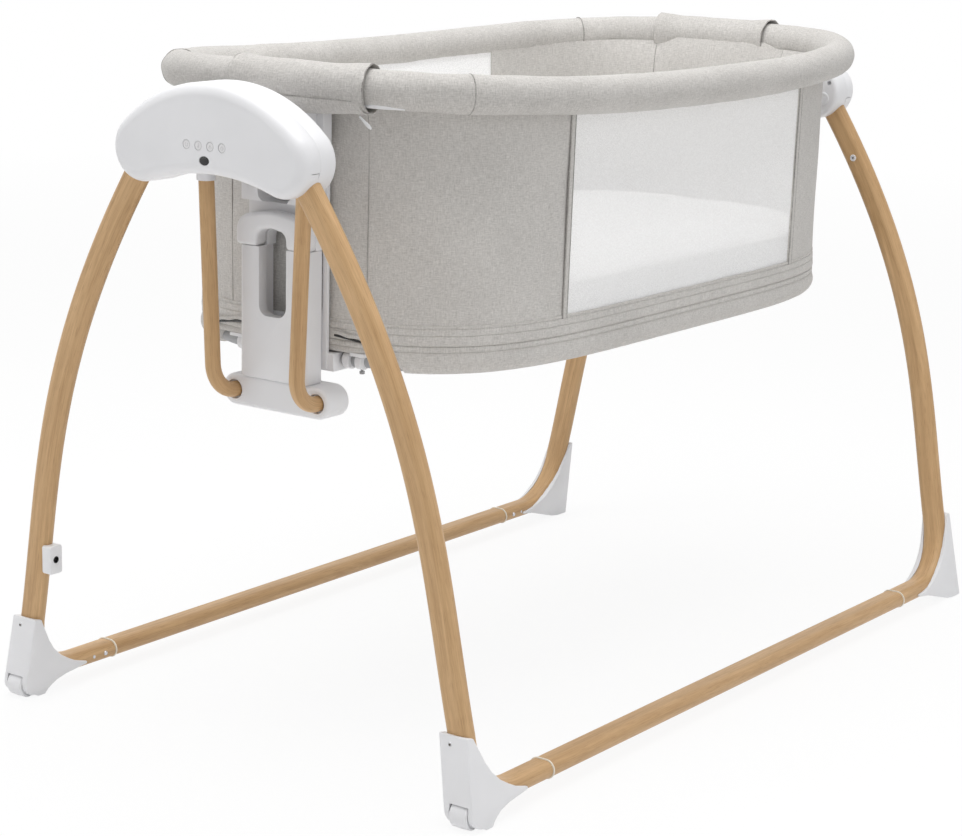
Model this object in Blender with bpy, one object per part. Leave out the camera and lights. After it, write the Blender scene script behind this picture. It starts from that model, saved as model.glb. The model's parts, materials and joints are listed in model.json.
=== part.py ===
"""A swinging crib: a padded basket that hangs between two A-shaped stands.

The crib stands on the floor at z = 0, with its origin under the middle. X runs across it, Y along it and
Z up. The front end, with the motor and the controls, is at -Y. Metres throughout.

Each end of the stand is two curved tubes under a bean-shaped housing. A yoke hangs from a shaft in that
housing and carries two J-shaped hangers, a cross bar and a column. The basket's carriers stand on the
columns, with tongues that slide down inside them, so that the basket lifts straight off when the two arch
handles are pulled.
"""

import math

import bmesh
import bpy
from mathutils import Vector

ENDS = {"front": -1, "rear": 1}
SIDES = {"left": -1, "right": 1}

# Fits
GAP = 0.0003
OVERRUN = 0.004

# Stand tubes: flat-oval, bent once into the floor rail and curved inwards to the housing
TUBE_WIDE = 0.030
TUBE_DEEP = 0.0195
TUBE_WALL = 0.0012
TUBE_POINTS = 12
RAIL_X = 0.3174
RAIL_Z = 0.0248
RAIL_JOINT_Y = 0.398
SPIGOT_REACH = 0.052
FOOT_BEND_R = 0.070
FOOT_BEND_STEPS = 4
LEG_FOOT_X = 0.3069
LEG_FOOT_Y = 0.528
LEG_FOOT_SLOPE_SHARE = 0.21
LEG_FOOT_PULL = 0.178
LEG_TOP_IN = 0.0008
LEG_TOP_ABOVE_LOBE = 0.003
LEG_TOP_SLOPE_SHARE = 0.71
LEG_TOP_PULL = 0.248
LEG_LEAN_SHARE = 0.031
LEG_STEPS = 7

# Collars and spring buttons at the four rail joints
RING_THICK = 0.0022
RING_LIP = 0.0012
SNAP_R = 0.00275
SNAP_PROUD = 0.0020
SNAP_FLANGE_R = 0.0040
SNAP_FLANGE_THICK = 0.0015
SNAP_FROM_JOINT = 0.018
SNAP_POINTS = 10

# Feet: boots round the bend of each leg
FOOT_WALL = 0.0033
FOOT_LIP = 0.004
FOOT_SOLE = 0.0022
FOOT_ROUND = 0.003
FOOT_TIP_REACH = 0.009
FOOT_HEEL_NEAR = 0.025
FOOT_HEEL_RISE = 0.006
FRONT_FOOT_TOP_Z = 0.104
FRONT_FOOT_REACH = 0.023
FRONT_FOOT_HEEL_FAR = 0.0035
FRONT_FOOT_TOE_R = 0.0165
FRONT_FOOT_TOE_LIFT = 0.003
REAR_FOOT_TOP_Z = 0.112
REAR_FOOT_TOP_REACH = 0.0145
REAR_FOOT_SOLE_REACH = 0.0285
ARC_STEPS = 5

# Rollers in the front feet
ROLLER_R = 0.0152
ROLLER_EDGE_R = 0.0137
ROLLER_HALF = 0.0103
ROLLER_STUB_R = 0.0030
ROLLER_STUB = 0.0036
ROLLER_SETBACK = 0.0013
ROLLER_SLOT_ROOM = 0.0018
ROLLER_SIDE_ROOM = 0.0008
ROLLER_POINTS = 16

# Housings: a bean of four tangent arcs, split in the plane of the legs
HOUSING_LOBE_X = 0.096
HOUSING_LOBE_Z = 0.657
HOUSING_LOBE_R = 0.036
HOUSING_RISE = 0.074
HOUSING_DIP = 0.020
HOUSING_DEPTH = 0.0536
HOUSING_WALL = 0.0025
HOUSING_FACE_ROUND = 0.013
HOUSING_BACK_ROUND = 0.006
HOUSING_INNER_ROUND = 0.008
FACE_ROUND_STEPS = 3
BACK_ROUND_STEPS = 2
LOBE_STEPS = 7
TOP_STEPS = 6
UNDER_STEPS = 4
BOSS_X = 0.1025
BOSS_DROP = 0.005
BOSS_R = 0.0085
BOSS_PROUD = 0.0012
RECESS_X = 0.112
RECESS_RISE = 0.023
RECESS_R = 0.0030
RECESS_DEPTH = 0.0016
DETAIL_POINTS = 10

# Controls on the motor housing's face
BUTTON_R = 0.0050
BUTTON_PITCH = 0.0161
BUTTON_LENGTH = 0.0042
BUTTON_RISE = 0.010
BUTTON_COUNT = 4
FACE_SINK = 0.0002
LENS_HALF_X = 0.0066
LENS_HALF_Z = 0.0045
LENS_DROP = 0.005
LENS_DEPTH = 0.0034

# Electronics behind the face
BOARD_HALF_X = 0.046
BOARD_DROP = 0.0115
BOARD_RISE = 0.041
BOARD_THICK = 0.0016
BOARD_BEHIND_FACE = 0.0115
POST_R = 0.0026
POST_X = 0.040
POST_RISE = 0.033
SPEAKER_R = 0.0150
SPEAKER_MAGNET_R = 0.0085
SPEAKER_RIM = 0.0030
SPEAKER_DEPTH = 0.0130
SPEAKER_X = 0.064
SPEAKER_RISE = 0.033

# Swing: shaft, bush, yoke, hangers, cross bar
PIVOT_RISE = 0.045
SHAFT_R = 0.006
SHAFT_TAIL = 0.0135
BUSH_R = 0.0105
BUSH_FLANGE_R = 0.0135
BUSH_REACH = 0.013
BUSH_WALL_ROUND = 0.0030
DRIVE_ARM_WIDE = 0.011
DRIVE_ARM_THICK = 0.008
DRIVE_ARM = 0.026
MAGNET_WIDE = 0.014
MAGNET_DEEP = 0.010
MAGNET_TALL = 0.008
COIL_HALF_X = 0.012
COIL_DEEP = 0.013
COIL_AIR_GAP = 0.0015
YOKE_STANDOFF = 0.007
YOKE_DEEP = 0.034
YOKE_HUB_R = 0.017
YOKE_ROUND = 0.003
SOCKET_R = 0.0118
SOCKET_DROP = 0.074
SOCKET_DEPTH = 0.027
YOKE_SHOULDER_SHARES = ((0.0, 1.0), (0.15, 0.989), (0.375, 0.879), (0.87, 0.44), (1.0, 0.242))
YOKE_INNER_SHARES = ((1.0, 0.22), (0.80, 0.374), (0.356, 0.527), (0.0, 0.593))
HANGER_R = 0.0085
HANGER_WALL = 0.0015
HANGER_TOP_X = 0.0692
HANGER_LOW_X = 0.0575
HANGER_BEND_R = 0.033
HANGER_BEND_STEPS = 4
HANGER_SEAT = 0.026
HANGER_POINTS = 10
CROSSBAR_DROP = 0.313
CROSSBAR_R = 0.0175
CROSSBAR_DEEP = 0.036
CROSSBAR_ROUND = 0.004
CROSSBAR_MOUTH_R = 0.0105
CROSSBAR_MOUTH_DEPTH = 0.005

# Columns on the cross bars
COLUMN_HALF = 0.0465
COLUMN_DEEP = 0.030
COLUMN_PROUD = 0.0045
COLUMN_TALL = 0.143
COLUMN_ROUND = 0.006
WINDOW_HALF = 0.0230
WINDOW_RISE = 0.069
WINDOW_ROUND = 0.012
TONGUE_X = 0.033
TONGUE_WIDE = 0.016
TONGUE_DEEP = 0.011
TONGUE_SETBACK = 0.0078
TONGUE_REACH = 0.110
TONGUE_SLOT_ROOM = 0.003

# Carriers: the basket's end brackets, standing on the columns
CARRIER_BACK_DEEP = 0.0148
CARRIER_PAD_PROUD = 0.0125
CARRIER_PAD_RISE = 0.047
CARRIER_PANEL_HALF = 0.040
CARRIER_PANEL_SHARES = (0.2, 0.125)
CARRIER_PANEL_PROUD = 0.0012
CARRIER_SADDLE_HALF = 0.0555
CARRIER_SADDLE_LOW = 0.112
CARRIER_SADDLE_TALL = 0.047
CARRIER_SADDLE_DEEP = 0.030
HAND_HOLE_RISE = 0.0475
HAND_HOLE_TALL = 0.036
HAND_HOLE_ROUND = 0.011
FLANGE_HALF = 0.050
FLANGE_THICK = 0.0042
FLANGE_TOP = 0.080
FLANGE_WINDOW_HALF = 0.044
FLANGE_WINDOW_TOP = 0.040
BRACKET_HALF = 0.058
BRACKET_FLOOR = 0.0045
BRACKET_LIP = 0.0045

# Release handles: arches in front of the carriers
HANDLE_HALF = 0.0490
HANDLE_TALL = 0.0385
HANDLE_DEEP = 0.0195
HANDLE_SHOULDER_R = 0.019
HANDLE_INNER_HALF = 0.0200
HANDLE_INNER_TALL = 0.0185
HANDLE_INNER_R = 0.010
HANDLE_CROWN = 0.004
HANDLE_ROUND = 0.0055

# Basket: rim, shell, windows, board and mattress
RIM_ABOVE_SPLIT = 0.1767
RIM_HALF_X = 0.255
RIM_OVERHANG = 0.0292
RIM_SAG = 0.0155
RIM_R = 0.0205
RIM_SLEEVE = 0.0020
RIM_SLEEVE_HALF_X = 0.090
RIM_STATIONS = 40
RIM_POINTS = 10
PLAN_SIDE_POWER = 3.4
PLAN_END_POWER = 3.5
WALL_SIDE_POWER = 3.2
WALL_END_POWER = 4.6
BASKET_DEEP = 0.287
SHELL_TOP_HALF_X = 0.237
SHELL_LOW_HALF_X = 0.231
SHELL_WALL = 0.003
SHELL_FLOOR = 0.004
SHELL_BAND_TALL = 0.0345
SHELL_BAND_BULGE = 0.003
SHELL_LIP_DROP = 0.0165
SHELL_LIP_SHARES = (0.5, 0.3)
LIP_REACH_SHARES = (0.5, 2.0)
LIP_HALVINGS = 30
SHELL_BAND_INSETS_SHARES = ((0.0, 2.2), (0.08, 0.3), (0.45, -1.0), (0.80, -0.7), (0.93, 0.2))
NET_HALF_Y = 0.247
NET_LOW = 0.0345
NET_TALL = 0.204
NET_THICK = 0.0014
NET_STATIONS = 6
NET_ROOM = 0.0005
CORNER_TURNS = (0.40, 0.55, 0.70, 0.85, 1.00, 1.15, 1.30, 1.44)
BOARD_TALL = 0.016
MATTRESS_TALL = 0.056
MATTRESS_ROOM = 0.0035
MATTRESS_CROWN = 0.004
MATTRESS_EDGE = 0.014
MATTRESS_SIDE_SHARES = ((0.0, 0.85), (0.12, 0.20), (0.50, 0.0), (0.85, 0.18), (1.0, 1.0))
MATTRESS_CROWN_SHARES = ((0.60, 0.85),)
BOTTOM_TUBE_R = 0.0075
BOTTOM_TUBE_HALF_X = 0.210
BOTTOM_TUBE_INSET = 0.0125
BOTTOM_TUBE_STATIONS = 36
BOTTOM_TUBE_POINTS = 8

# Power inlet on the front left leg
INLET_Z = 0.172
INLET_TALL = 0.033
INLET_WIDE = 0.019
INLET_PROUD = 0.0125
INLET_ROUND = 0.0025
JACK_R = 0.0042
JACK_DEPTH = 0.006

# Places that follow from the sizes above
FOOT_BEND_Y = LEG_FOOT_Y - FOOT_BEND_R
LEG_FOOT_Z = RAIL_Z + FOOT_BEND_R
LEG_TOP_X = HOUSING_LOBE_X - LEG_TOP_IN
LEG_TOP_Z = HOUSING_LOBE_Z + LEG_TOP_ABOVE_LOBE
HOUSING_TOP_Z = HOUSING_LOBE_Z + HOUSING_RISE
HOUSING_UNDER_Z = HOUSING_LOBE_Z - HOUSING_DIP
PIVOT_Z = HOUSING_LOBE_Z + PIVOT_RISE
SOCKET_LOW_Z = PIVOT_Z - SOCKET_DROP
SPLIT_Y = LEG_FOOT_Y + LEG_LEAN_SHARE * (HOUSING_LOBE_Z - LEG_FOOT_Z)
FACE_Y = SPLIT_Y + HOUSING_DEPTH / 2
BACK_Y = SPLIT_Y - HOUSING_DEPTH / 2
YOKE_FAR_Y = BACK_Y - YOKE_STANDOFF
HANGER_Y = YOKE_FAR_Y - YOKE_DEEP / 2
YOKE_NEAR_Y = YOKE_FAR_Y - YOKE_DEEP
CROSSBAR_Z = PIVOT_Z - CROSSBAR_DROP
CROSSBAR_FACE_Y = HANGER_Y - HANGER_BEND_R
COLUMN_FACE_Y = CROSSBAR_FACE_Y + COLUMN_PROUD
COLUMN_BACK_Y = COLUMN_FACE_Y - COLUMN_DEEP
COLUMN_LOW_Z = CROSSBAR_Z + CROSSBAR_R + GAP
COLUMN_TOP_Z = COLUMN_LOW_Z + COLUMN_TALL
CARRIER_LOW_Z = COLUMN_TOP_Z + GAP
WINDOW_LOW_Z = COLUMN_LOW_Z + WINDOW_RISE
TONGUE_Y = COLUMN_BACK_Y + TONGUE_SETBACK
FLANGE_FAR_Y = COLUMN_BACK_Y - GAP
FLANGE_NEAR_Y = FLANGE_FAR_Y - FLANGE_THICK
SHELL_END_Y = FLANGE_NEAR_Y - GAP - SHELL_BAND_BULGE
RIM_END_Y = SHELL_END_Y + RIM_OVERHANG
RIM_Z = COLUMN_TOP_Z + RIM_ABOVE_SPLIT
BASKET_LOW_Z = RIM_Z - BASKET_DEEP
BASKET_FLOOR_Z = BASKET_LOW_Z + SHELL_FLOOR
BOTTOM_TUBE_Z = BASKET_LOW_Z - BOTTOM_TUBE_R - GAP
BOTTOM_TUBE_END_Y = SHELL_END_Y - BOTTOM_TUBE_INSET
ROLLER_Y = LEG_FOOT_Y + FRONT_FOOT_REACH - ROLLER_R - ROLLER_SETBACK
ROLLER_Z = ROLLER_R + GAP

# Finishes: colour, roughness, metallic
WOOD_FILM = ((0.52, 0.31, 0.13, 1.0), 0.45, 0.0)
WHITE_PLASTIC = ((0.83, 0.83, 0.84, 1.0), 0.38, 0.0)
CREAM_PLASTIC = ((0.86, 0.80, 0.72, 1.0), 0.45, 0.0)
BLACK_PLASTIC = ((0.02, 0.02, 0.02, 1.0), 0.30, 0.0)
GREY_FABRIC = ((0.43, 0.41, 0.39, 1.0), 0.92, 0.0)
WHITE_NET = ((0.80, 0.80, 0.79, 1.0), 0.85, 0.0)
WHITE_FABRIC = ((0.80, 0.79, 0.77, 1.0), 0.90, 0.0)
BRIGHT_STEEL = ((0.62, 0.62, 0.63, 1.0), 0.28, 1.0)
GREY_COATING = ((0.36, 0.37, 0.38, 1.0), 0.48, 0.2)
BOARD_GREEN = ((0.03, 0.16, 0.08, 1.0), 0.55, 0.0)
COPPER_WINDING = ((0.55, 0.25, 0.10, 1.0), 0.35, 0.9)
FIBRE_BOARD = ((0.45, 0.33, 0.21, 1.0), 0.85, 0.0)
ACETAL = ((0.70, 0.70, 0.68, 1.0), 0.40, 0.0)


def clear_scene():
    """Empties the scene that Blender starts with."""
    for old in list(bpy.data.objects):
        bpy.data.objects.remove(old, do_unlink=True)


def at(across, out, up, end):
    """A point given by its distance out from the crib's middle, towards the named end."""
    return Vector((across, ENDS[end] * out, up))


def make_body(name, place, parent=None):
    """An empty on a joint's axis, which the pieces of one moving body hang under."""
    body = bpy.data.objects.new(name, None)
    body["place"] = tuple(place)
    if parent is not None:
        body.parent = parent
        place = Vector(place) - Vector(parent["place"])
    body.location = place
    bpy.context.scene.collection.objects.link(body)
    return body


def finish_material(name, finish):
    """A plain Principled material of the finish's colour, roughness and metallic value."""
    colour, roughness, metallic = finish
    material = bpy.data.materials.new(name)
    material.use_nodes = True
    shader = material.node_tree.nodes["Principled BSDF"]
    shader.inputs["Base Color"].default_value = colour
    shader.inputs["Roughness"].default_value = roughness
    shader.inputs["Metallic"].default_value = metallic
    material.diffuse_color = colour
    return material


def add_object(name, shape):
    """Turns a bmesh in world coordinates into an object of the scene."""
    mesh = bpy.data.meshes.new(name)
    shape.to_mesh(mesh)
    shape.free()
    piece = bpy.data.objects.new(name, mesh)
    bpy.context.scene.collection.objects.link(piece)
    return piece


def add_piece(name, shape, finish, body):
    """A named piece, shaded smooth between sharp edges, in its own finish, carried by a body's empty."""
    bmesh.ops.translate(shape, verts=shape.verts, vec=-Vector(body["place"]))
    piece = add_object(name, shape)
    piece.parent = body
    piece.data.shade_smooth()
    piece.data.set_sharp_from_angle(angle=math.radians(35))
    piece.data.materials.append(finish_material(name, finish))
    return piece


def add_cutter(name, shape):
    """A shape that only cuts or joins, and is left out of the finished part."""
    cutter = add_object("shape_" + name, shape)
    cutter.hide_render = True
    cutter.display_type = "WIRE"
    return cutter


def combine(piece, tool, operation="DIFFERENCE"):
    """Cuts the tool out of the piece, or joins it to the piece."""
    modifier = piece.modifiers.new(tool.name, "BOOLEAN")
    modifier.operation = operation
    modifier.solver = "EXACT"
    modifier.object = tool


def lofted(rings, closed=False):
    """A skin through rings of points: capped at both ends, or closed round on itself."""
    shape = bmesh.new()
    loops = [[shape.verts.new(point) for point in ring] for ring in rings]
    following = loops[1:] + loops[:1] if closed else loops[1:]
    for near, far in zip(loops, following):
        for index in range(len(near)):
            after = (index + 1) % len(near)
            shape.faces.new((near[index], near[after], far[after], far[index]))
    if not closed:
        shape.faces.new(loops[0])
        shape.faces.new(loops[-1])
    bmesh.ops.recalc_face_normals(shape, faces=shape.faces)
    return shape


def swept_rings(path, outline, hint, closed=False):
    """Rings of one outline along a path, square to it, with the outline's first axis kept near the hint."""
    rings = []
    for index, point in enumerate(path):
        if closed:
            before = path[index - 1]
            after = path[(index + 1) % len(path)]
        else:
            before = path[max(index - 1, 0)]
            after = path[min(index + 1, len(path) - 1)]
        along = (after - before).normalized()
        across = (hint - along * hint.dot(along)).normalized()
        through = along.cross(across)
        section = outline(index) if callable(outline) else outline
        rings.append([point + across * a + through * b for a, b in section])
    return rings


def flat_oval(wide, deep):
    """The stand tube's section: half circles at both ends of a flat strip."""
    radius = deep / 2
    flat = wide / 2 - radius
    half = TUBE_POINTS // 2
    outline = []
    for side in (1, -1):
        for step in range(half):
            turn = math.pi * step / (half - 1) - math.pi / 2
            outline.append((side * (flat + radius * math.cos(turn)), side * radius * math.sin(turn)))
    return outline


def circle(radius, points):
    """A round section, drawn outside the circle by as much as inside, so that its area is right."""
    turns = [2 * math.pi * index / points for index in range(points)]
    return [(radius * math.cos(turn), radius * math.sin(turn)) for turn in turns]


def arc(centre, radius, start, stop, steps):
    """Points along an arc, angles in radians, both ends included."""
    turns = [start + (stop - start) * step / steps for step in range(steps + 1)]
    return [(centre[0] + radius * math.cos(turn), centre[1] + radius * math.sin(turn)) for turn in turns]


def turned(profile, centre, axis, points):
    """A solid of revolution from profile pairs: (distance along the axis, radius), end to end."""
    side = Vector((0, 0, 1)) if abs(axis.z) < abs(axis.x) + abs(axis.y) else Vector((1, 0, 0))
    other = axis.cross(side)
    rings = []
    for along, radius in profile:
        middle = centre + axis * along
        rings.append([middle + side * a + other * b for a, b in circle(radius, points)])
    return lofted(rings)


def plate(outline, near, far, end, stations=None):
    """A slab of an (x, z) outline between two distances out. Stations round it: (distance out, outline)."""
    stations = stations or [(near, outline), (far, outline)]
    return lofted([[at(x, out, z, end) for x, z in ring] for out, ring in stations])


def block(half_x, near, far, low, top, end, middle=0.0):
    """A box about X = middle."""
    outline = [
        (middle - half_x, low),
        (middle + half_x, low),
        (middle + half_x, top),
        (middle - half_x, top),
    ]
    return plate(outline, near, far, end)


def upright(half_x, near, far, low, top, corner, end, steps=3):
    """A box with rounded upright corners."""
    outline = []
    for x_side, y_side, start in ((1, 1, 0), (-1, 1, 1), (-1, -1, 2), (1, -1, 3)):
        centre = (x_side * (half_x - corner), (far - corner) if y_side > 0 else (near + corner))
        begin = start * math.pi / 2
        outline += arc(centre, corner, begin, begin + math.pi / 2, steps)
    return lofted([[at(x, out, z, end) for x, out in outline] for z in (low, top)])


def rounded_hole(half_x, low, top, corner, steps=3):
    """A rectangle with round corners, as an (x, z) outline."""
    outline = []
    for x_side, z_side, start in ((1, 1, 0), (-1, 1, 1), (-1, -1, 2), (1, -1, 3)):
        centre = (x_side * (half_x - corner), (top - corner) if z_side > 0 else (low + corner))
        begin = start * math.pi / 2
        outline += arc(centre, corner, begin, begin + math.pi / 2, steps)
    return outline


def bevelled(shape, chosen, width, steps=2):
    """Rounds the edges for which chosen(edge) is true."""
    edges = [edge for edge in shape.edges if chosen(edge)]
    bmesh.ops.bevel(
        shape, geom=edges, offset=width, segments=steps, profile=0.5, affect="EDGES", clamp_overlap=True
    )
    return shape


def on_plane(edge, axis, value):
    """Whether both ends of an edge lie at this value on this axis."""
    return all(abs(vert.co[axis] - value) < GAP / 10 for vert in edge.verts)


def leg_curve(share):
    """The leg's (x, z) at this share of the way from the foot's bend to the top: one cubic curve."""
    foot = Vector((LEG_FOOT_X, LEG_FOOT_Z))
    top = Vector((LEG_TOP_X, LEG_TOP_Z))
    low = foot + Vector((-LEG_FOOT_SLOPE_SHARE, 1)) * LEG_FOOT_PULL
    high = top - Vector((-LEG_TOP_SLOPE_SHARE, 1)) * LEG_TOP_PULL
    rest = 1 - share
    return foot * rest**3 + low * (3 * rest**2 * share) + high * (3 * rest * share**2) + top * share**3


def leg_x_at(up):
    """How far across the leg's straight run between two stations passes this height."""
    stations = [leg_curve(step / LEG_STEPS) for step in range(LEG_STEPS + 1)]
    for low, high in zip(stations, stations[1:]):
        if low.y <= up <= high.y:
            return low.x + (high.x - low.x) * (up - low.y) / (high.y - low.y)
    return stations[-1].x


def leg_out(up):
    """How far out from the middle the leg stands at this height: it leans out a little."""
    return LEG_FOOT_Y + LEG_LEAN_SHARE * (up - LEG_FOOT_Z)


def leg_path(end, side):
    """The centre line of one leg, from its end at the rail joint to its top in the housing."""
    sign = SIDES[side]
    path = [at(sign * RAIL_X, RAIL_JOINT_Y + RING_THICK / 2 + GAP, RAIL_Z, end)]
    for step in range(FOOT_BEND_STEPS + 1):
        turn = math.pi / 2 * step / FOOT_BEND_STEPS
        rise = 1 - math.cos(turn)
        across = RAIL_X - (RAIL_X - LEG_FOOT_X) * rise
        out = FOOT_BEND_Y + FOOT_BEND_R * math.sin(turn)
        path.append(at(sign * across, out, RAIL_Z + FOOT_BEND_R * rise, end))
    for step in range(1, LEG_STEPS + 1):
        across, up = leg_curve(step / LEG_STEPS)
        path.append(at(sign * across, leg_out(up), up, end))
    return path


def leg_cutter(end, side):
    """The leg's own shape with its fit all round, for what grips it."""
    section = flat_oval(TUBE_WIDE + 2 * GAP, TUBE_DEEP + 2 * GAP)
    path = leg_path(end, side)
    path[0] -= at(0, OVERRUN, 0, end)
    path[-1] += (path[-1] - path[-2]).normalized() * GAP
    return add_cutter(f"{end}_{side}_leg", lofted(swept_rings(path, section, Vector((1, 0, 0)))))


def make_leg(end, side, stand):
    """One bent tube, open at both ends."""
    path = leg_path(end, side)
    outer = swept_rings(path, flat_oval(TUBE_WIDE, TUBE_DEEP), Vector((1, 0, 0)))
    bore = flat_oval(TUBE_WIDE - 2 * TUBE_WALL, TUBE_DEEP - 2 * TUBE_WALL)
    inner = swept_rings(path, bore, Vector((1, 0, 0)))
    leg = add_piece(f"{end}_{side}_leg", lofted(outer + inner[::-1], closed=True), WOOD_FILM, stand)
    combine(leg, snap_hole(end, side))
    return leg


def spigot_section(shrink=0.0):
    """The reduced end of a rail tube, which slides into a leg."""
    wall = TUBE_WALL + GAP + shrink
    return flat_oval(TUBE_WIDE - 2 * wall, TUBE_DEEP - 2 * wall)


def make_rail(side, stand):
    """The middle tube of one floor rail, with a reduced spigot at each end."""
    shoulder = RAIL_JOINT_Y - RING_THICK / 2 - GAP
    tip = shoulder + SPIGOT_REACH
    full = flat_oval(TUBE_WIDE, TUBE_DEEP)
    spigot = spigot_section()
    bore = spigot_section(TUBE_WALL)
    stations = [(-tip, spigot), (-shoulder, spigot), (-shoulder, full), (shoulder, full)]
    stations += [(shoulder, spigot), (tip, spigot), (tip, bore), (-tip, bore)]
    across = SIDES[side] * RAIL_X
    rings = [[Vector((across + a, out, RAIL_Z + b)) for a, b in section] for out, section in stations]
    rail = add_piece(f"{side}_rail", lofted(rings, closed=True), WOOD_FILM, stand)
    for end in ENDS:
        combine(rail, bpy.data.objects[f"shape_{end}_{side}_snap"])


def make_ring(end, side, stand):
    """The thin collar between a rail tube and a leg tube."""
    lip = flat_oval(TUBE_WIDE + 2 * RING_LIP, TUBE_DEEP + 2 * RING_LIP)
    bore = flat_oval(TUBE_WIDE - 2 * TUBE_WALL, TUBE_DEEP - 2 * TUBE_WALL)
    near = RAIL_JOINT_Y - RING_THICK / 2
    far = RAIL_JOINT_Y + RING_THICK / 2
    across = SIDES[side] * RAIL_X
    stations = [(near, bore), (near, lip), (far, lip), (far, bore)]
    rings = [[at(across + a, out, RAIL_Z + b, end) for a, b in section] for out, section in stations]
    add_piece(f"{end}_{side}_ring", lofted(rings, closed=True), CREAM_PLASTIC, stand)


def snap_place(end, side):
    """The point on the rail's centre line that a spring button crosses."""
    return at(SIDES[side] * RAIL_X, RAIL_JOINT_Y + SNAP_FROM_JOINT, RAIL_Z, end)


def snap_hole(end, side):
    """The hole that a spring button stands in, through the leg and the spigot inside it."""
    axis = Vector((-SIDES[side], 0, 0))
    radius = SNAP_R + GAP
    profile = [(TUBE_DEEP / 2 - TUBE_WALL, radius), (TUBE_WIDE / 2 + OVERRUN, radius)]
    return add_cutter(f"{end}_{side}_snap", turned(profile, snap_place(end, side), axis, SNAP_POINTS))


def make_snap(end, side, stand):
    """A spring button: a domed pin with a flange behind the spigot's wall."""
    axis = Vector((-SIDES[side], 0, 0))
    bore_r = TUBE_DEEP / 2 - 2 * TUBE_WALL - GAP
    wall = TUBE_WIDE / 2 - 2 * TUBE_WALL - GAP
    seat = wall - bore_r + math.sqrt(bore_r**2 - SNAP_FLANGE_R**2) - GAP
    tip = TUBE_WIDE / 2 + SNAP_PROUD
    profile = [
        (seat - SNAP_FLANGE_THICK, SNAP_FLANGE_R),
        (seat, SNAP_FLANGE_R),
        (seat, SNAP_R),
        (tip - SNAP_R / 2, SNAP_R),
        (tip, SNAP_R / 2),
    ]
    place = snap_place(end, side)
    body = make_body(f"{end}_{side}_snap_slide", place, stand)
    add_piece(f"{end}_{side}_snap", turned(profile, place, axis, SNAP_POINTS), BRIGHT_STEEL, body)


def foot_x(up):
    """The middle of a foot at this height: it leans with the bend of its leg."""
    return RAIL_X - (RAIL_X - LEG_FOOT_X) / FOOT_BEND_R * (up - RAIL_Z)


def foot_inner_edge(top):
    """A foot's concave edge, from its tip on the rail up to its top, along the bend of the tube."""
    radius = FOOT_BEND_R - FOOT_LIP
    curve = arc((FOOT_BEND_Y, LEG_FOOT_Z), radius, -math.pi / 2, 0, ARC_STEPS)
    sole = RAIL_Z - TUBE_DEEP / 2 - FOOT_SOLE
    tip = FOOT_BEND_Y - FOOT_TIP_REACH
    return [(tip, sole), (tip, RAIL_Z + FOOT_LIP)] + curve + [(FOOT_BEND_Y + radius, top)]


def front_foot_outline():
    """Side view of a front foot, as (distance out, height)."""
    face = LEG_FOOT_Y + FRONT_FOOT_REACH
    toe = (face - FRONT_FOOT_TOE_R, FRONT_FOOT_TOE_LIFT + FRONT_FOOT_TOE_R)
    heel = LEG_FOOT_Y - FOOT_HEEL_NEAR
    sole = RAIL_Z - TUBE_DEEP / 2 - FOOT_SOLE
    outline = [(face, FRONT_FOOT_TOP_Z)]
    outline += arc(toe, FRONT_FOOT_TOE_R, 0, -math.pi / 2, ARC_STEPS - 2)
    outline += [(LEG_FOOT_Y - FRONT_FOOT_HEEL_FAR, 0), (heel, 0), (heel - FOOT_HEEL_RISE, sole)]
    return outline + foot_inner_edge(FRONT_FOOT_TOP_Z)


def rear_foot_outline():
    """Side view of a rear foot, as (distance out, height): a wedge with a flat sole."""
    heel = LEG_FOOT_Y - FOOT_HEEL_NEAR
    sole = RAIL_Z - TUBE_DEEP / 2 - FOOT_SOLE
    outline = [(LEG_FOOT_Y + REAR_FOOT_TOP_REACH, REAR_FOOT_TOP_Z), (LEG_FOOT_Y + REAR_FOOT_SOLE_REACH, 0)]
    outline += [(heel, 0), (heel - FOOT_HEEL_RISE, sole)]
    return outline + foot_inner_edge(REAR_FOOT_TOP_Z)


def foot_slab(outline, end, side, half_width):
    """An (out, up) outline given a width across X, leaning with the leg."""
    sign = SIDES[side]
    rings = []
    for reach in (-half_width, half_width):
        rings.append([at(sign * foot_x(up) + reach, out, up, end) for out, up in outline])
    return lofted(rings)


def make_foot(end, side, stand):
    """A boot round the bend of a leg, open along the inside of the bend."""
    outline = front_foot_outline() if end == "front" else rear_foot_outline()
    half = TUBE_WIDE / 2 + FOOT_WALL
    shape = foot_slab(outline, end, side, half)
    sign = SIDES[side]

    def along_rim(edge):
        across = [vert.co.x - sign * foot_x(vert.co.z) for vert in edge.verts]
        return across[0] * across[1] > 0

    foot = add_piece(f"{end}_{side}_foot", bevelled(shape, along_rim, FOOT_ROUND), WHITE_PLASTIC, stand)
    combine(foot, bpy.data.objects[f"shape_{end}_{side}_leg"])
    if end == "front":
        combine(foot, roller_slot(side))
        combine(foot, roller_axle_hole(side))


def roller_centre(side):
    """The middle of a roller."""
    return at(SIDES[side] * foot_x(ROLLER_Z), ROLLER_Y, ROLLER_Z, "front")


def roller_slot(side):
    """The slot for a roller: round behind it, and open to the front and below."""
    radius = ROLLER_R + ROLLER_SLOT_ROOM
    half = ROLLER_HALF + ROLLER_SIDE_ROOM
    front = LEG_FOOT_Y + FRONT_FOOT_REACH + OVERRUN
    outline = arc((ROLLER_Y, ROLLER_Z), radius, math.pi / 2, 3 * math.pi / 2, ARC_STEPS)
    outline += [(front, ROLLER_Z - radius), (front, ROLLER_Z + radius)]
    centre = roller_centre(side).x
    rings = []
    for reach in (-half, half):
        rings.append([at(centre + reach, out, up, "front") for out, up in outline])
    return add_cutter(f"{side}_roller_slot", lofted(rings))


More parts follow.
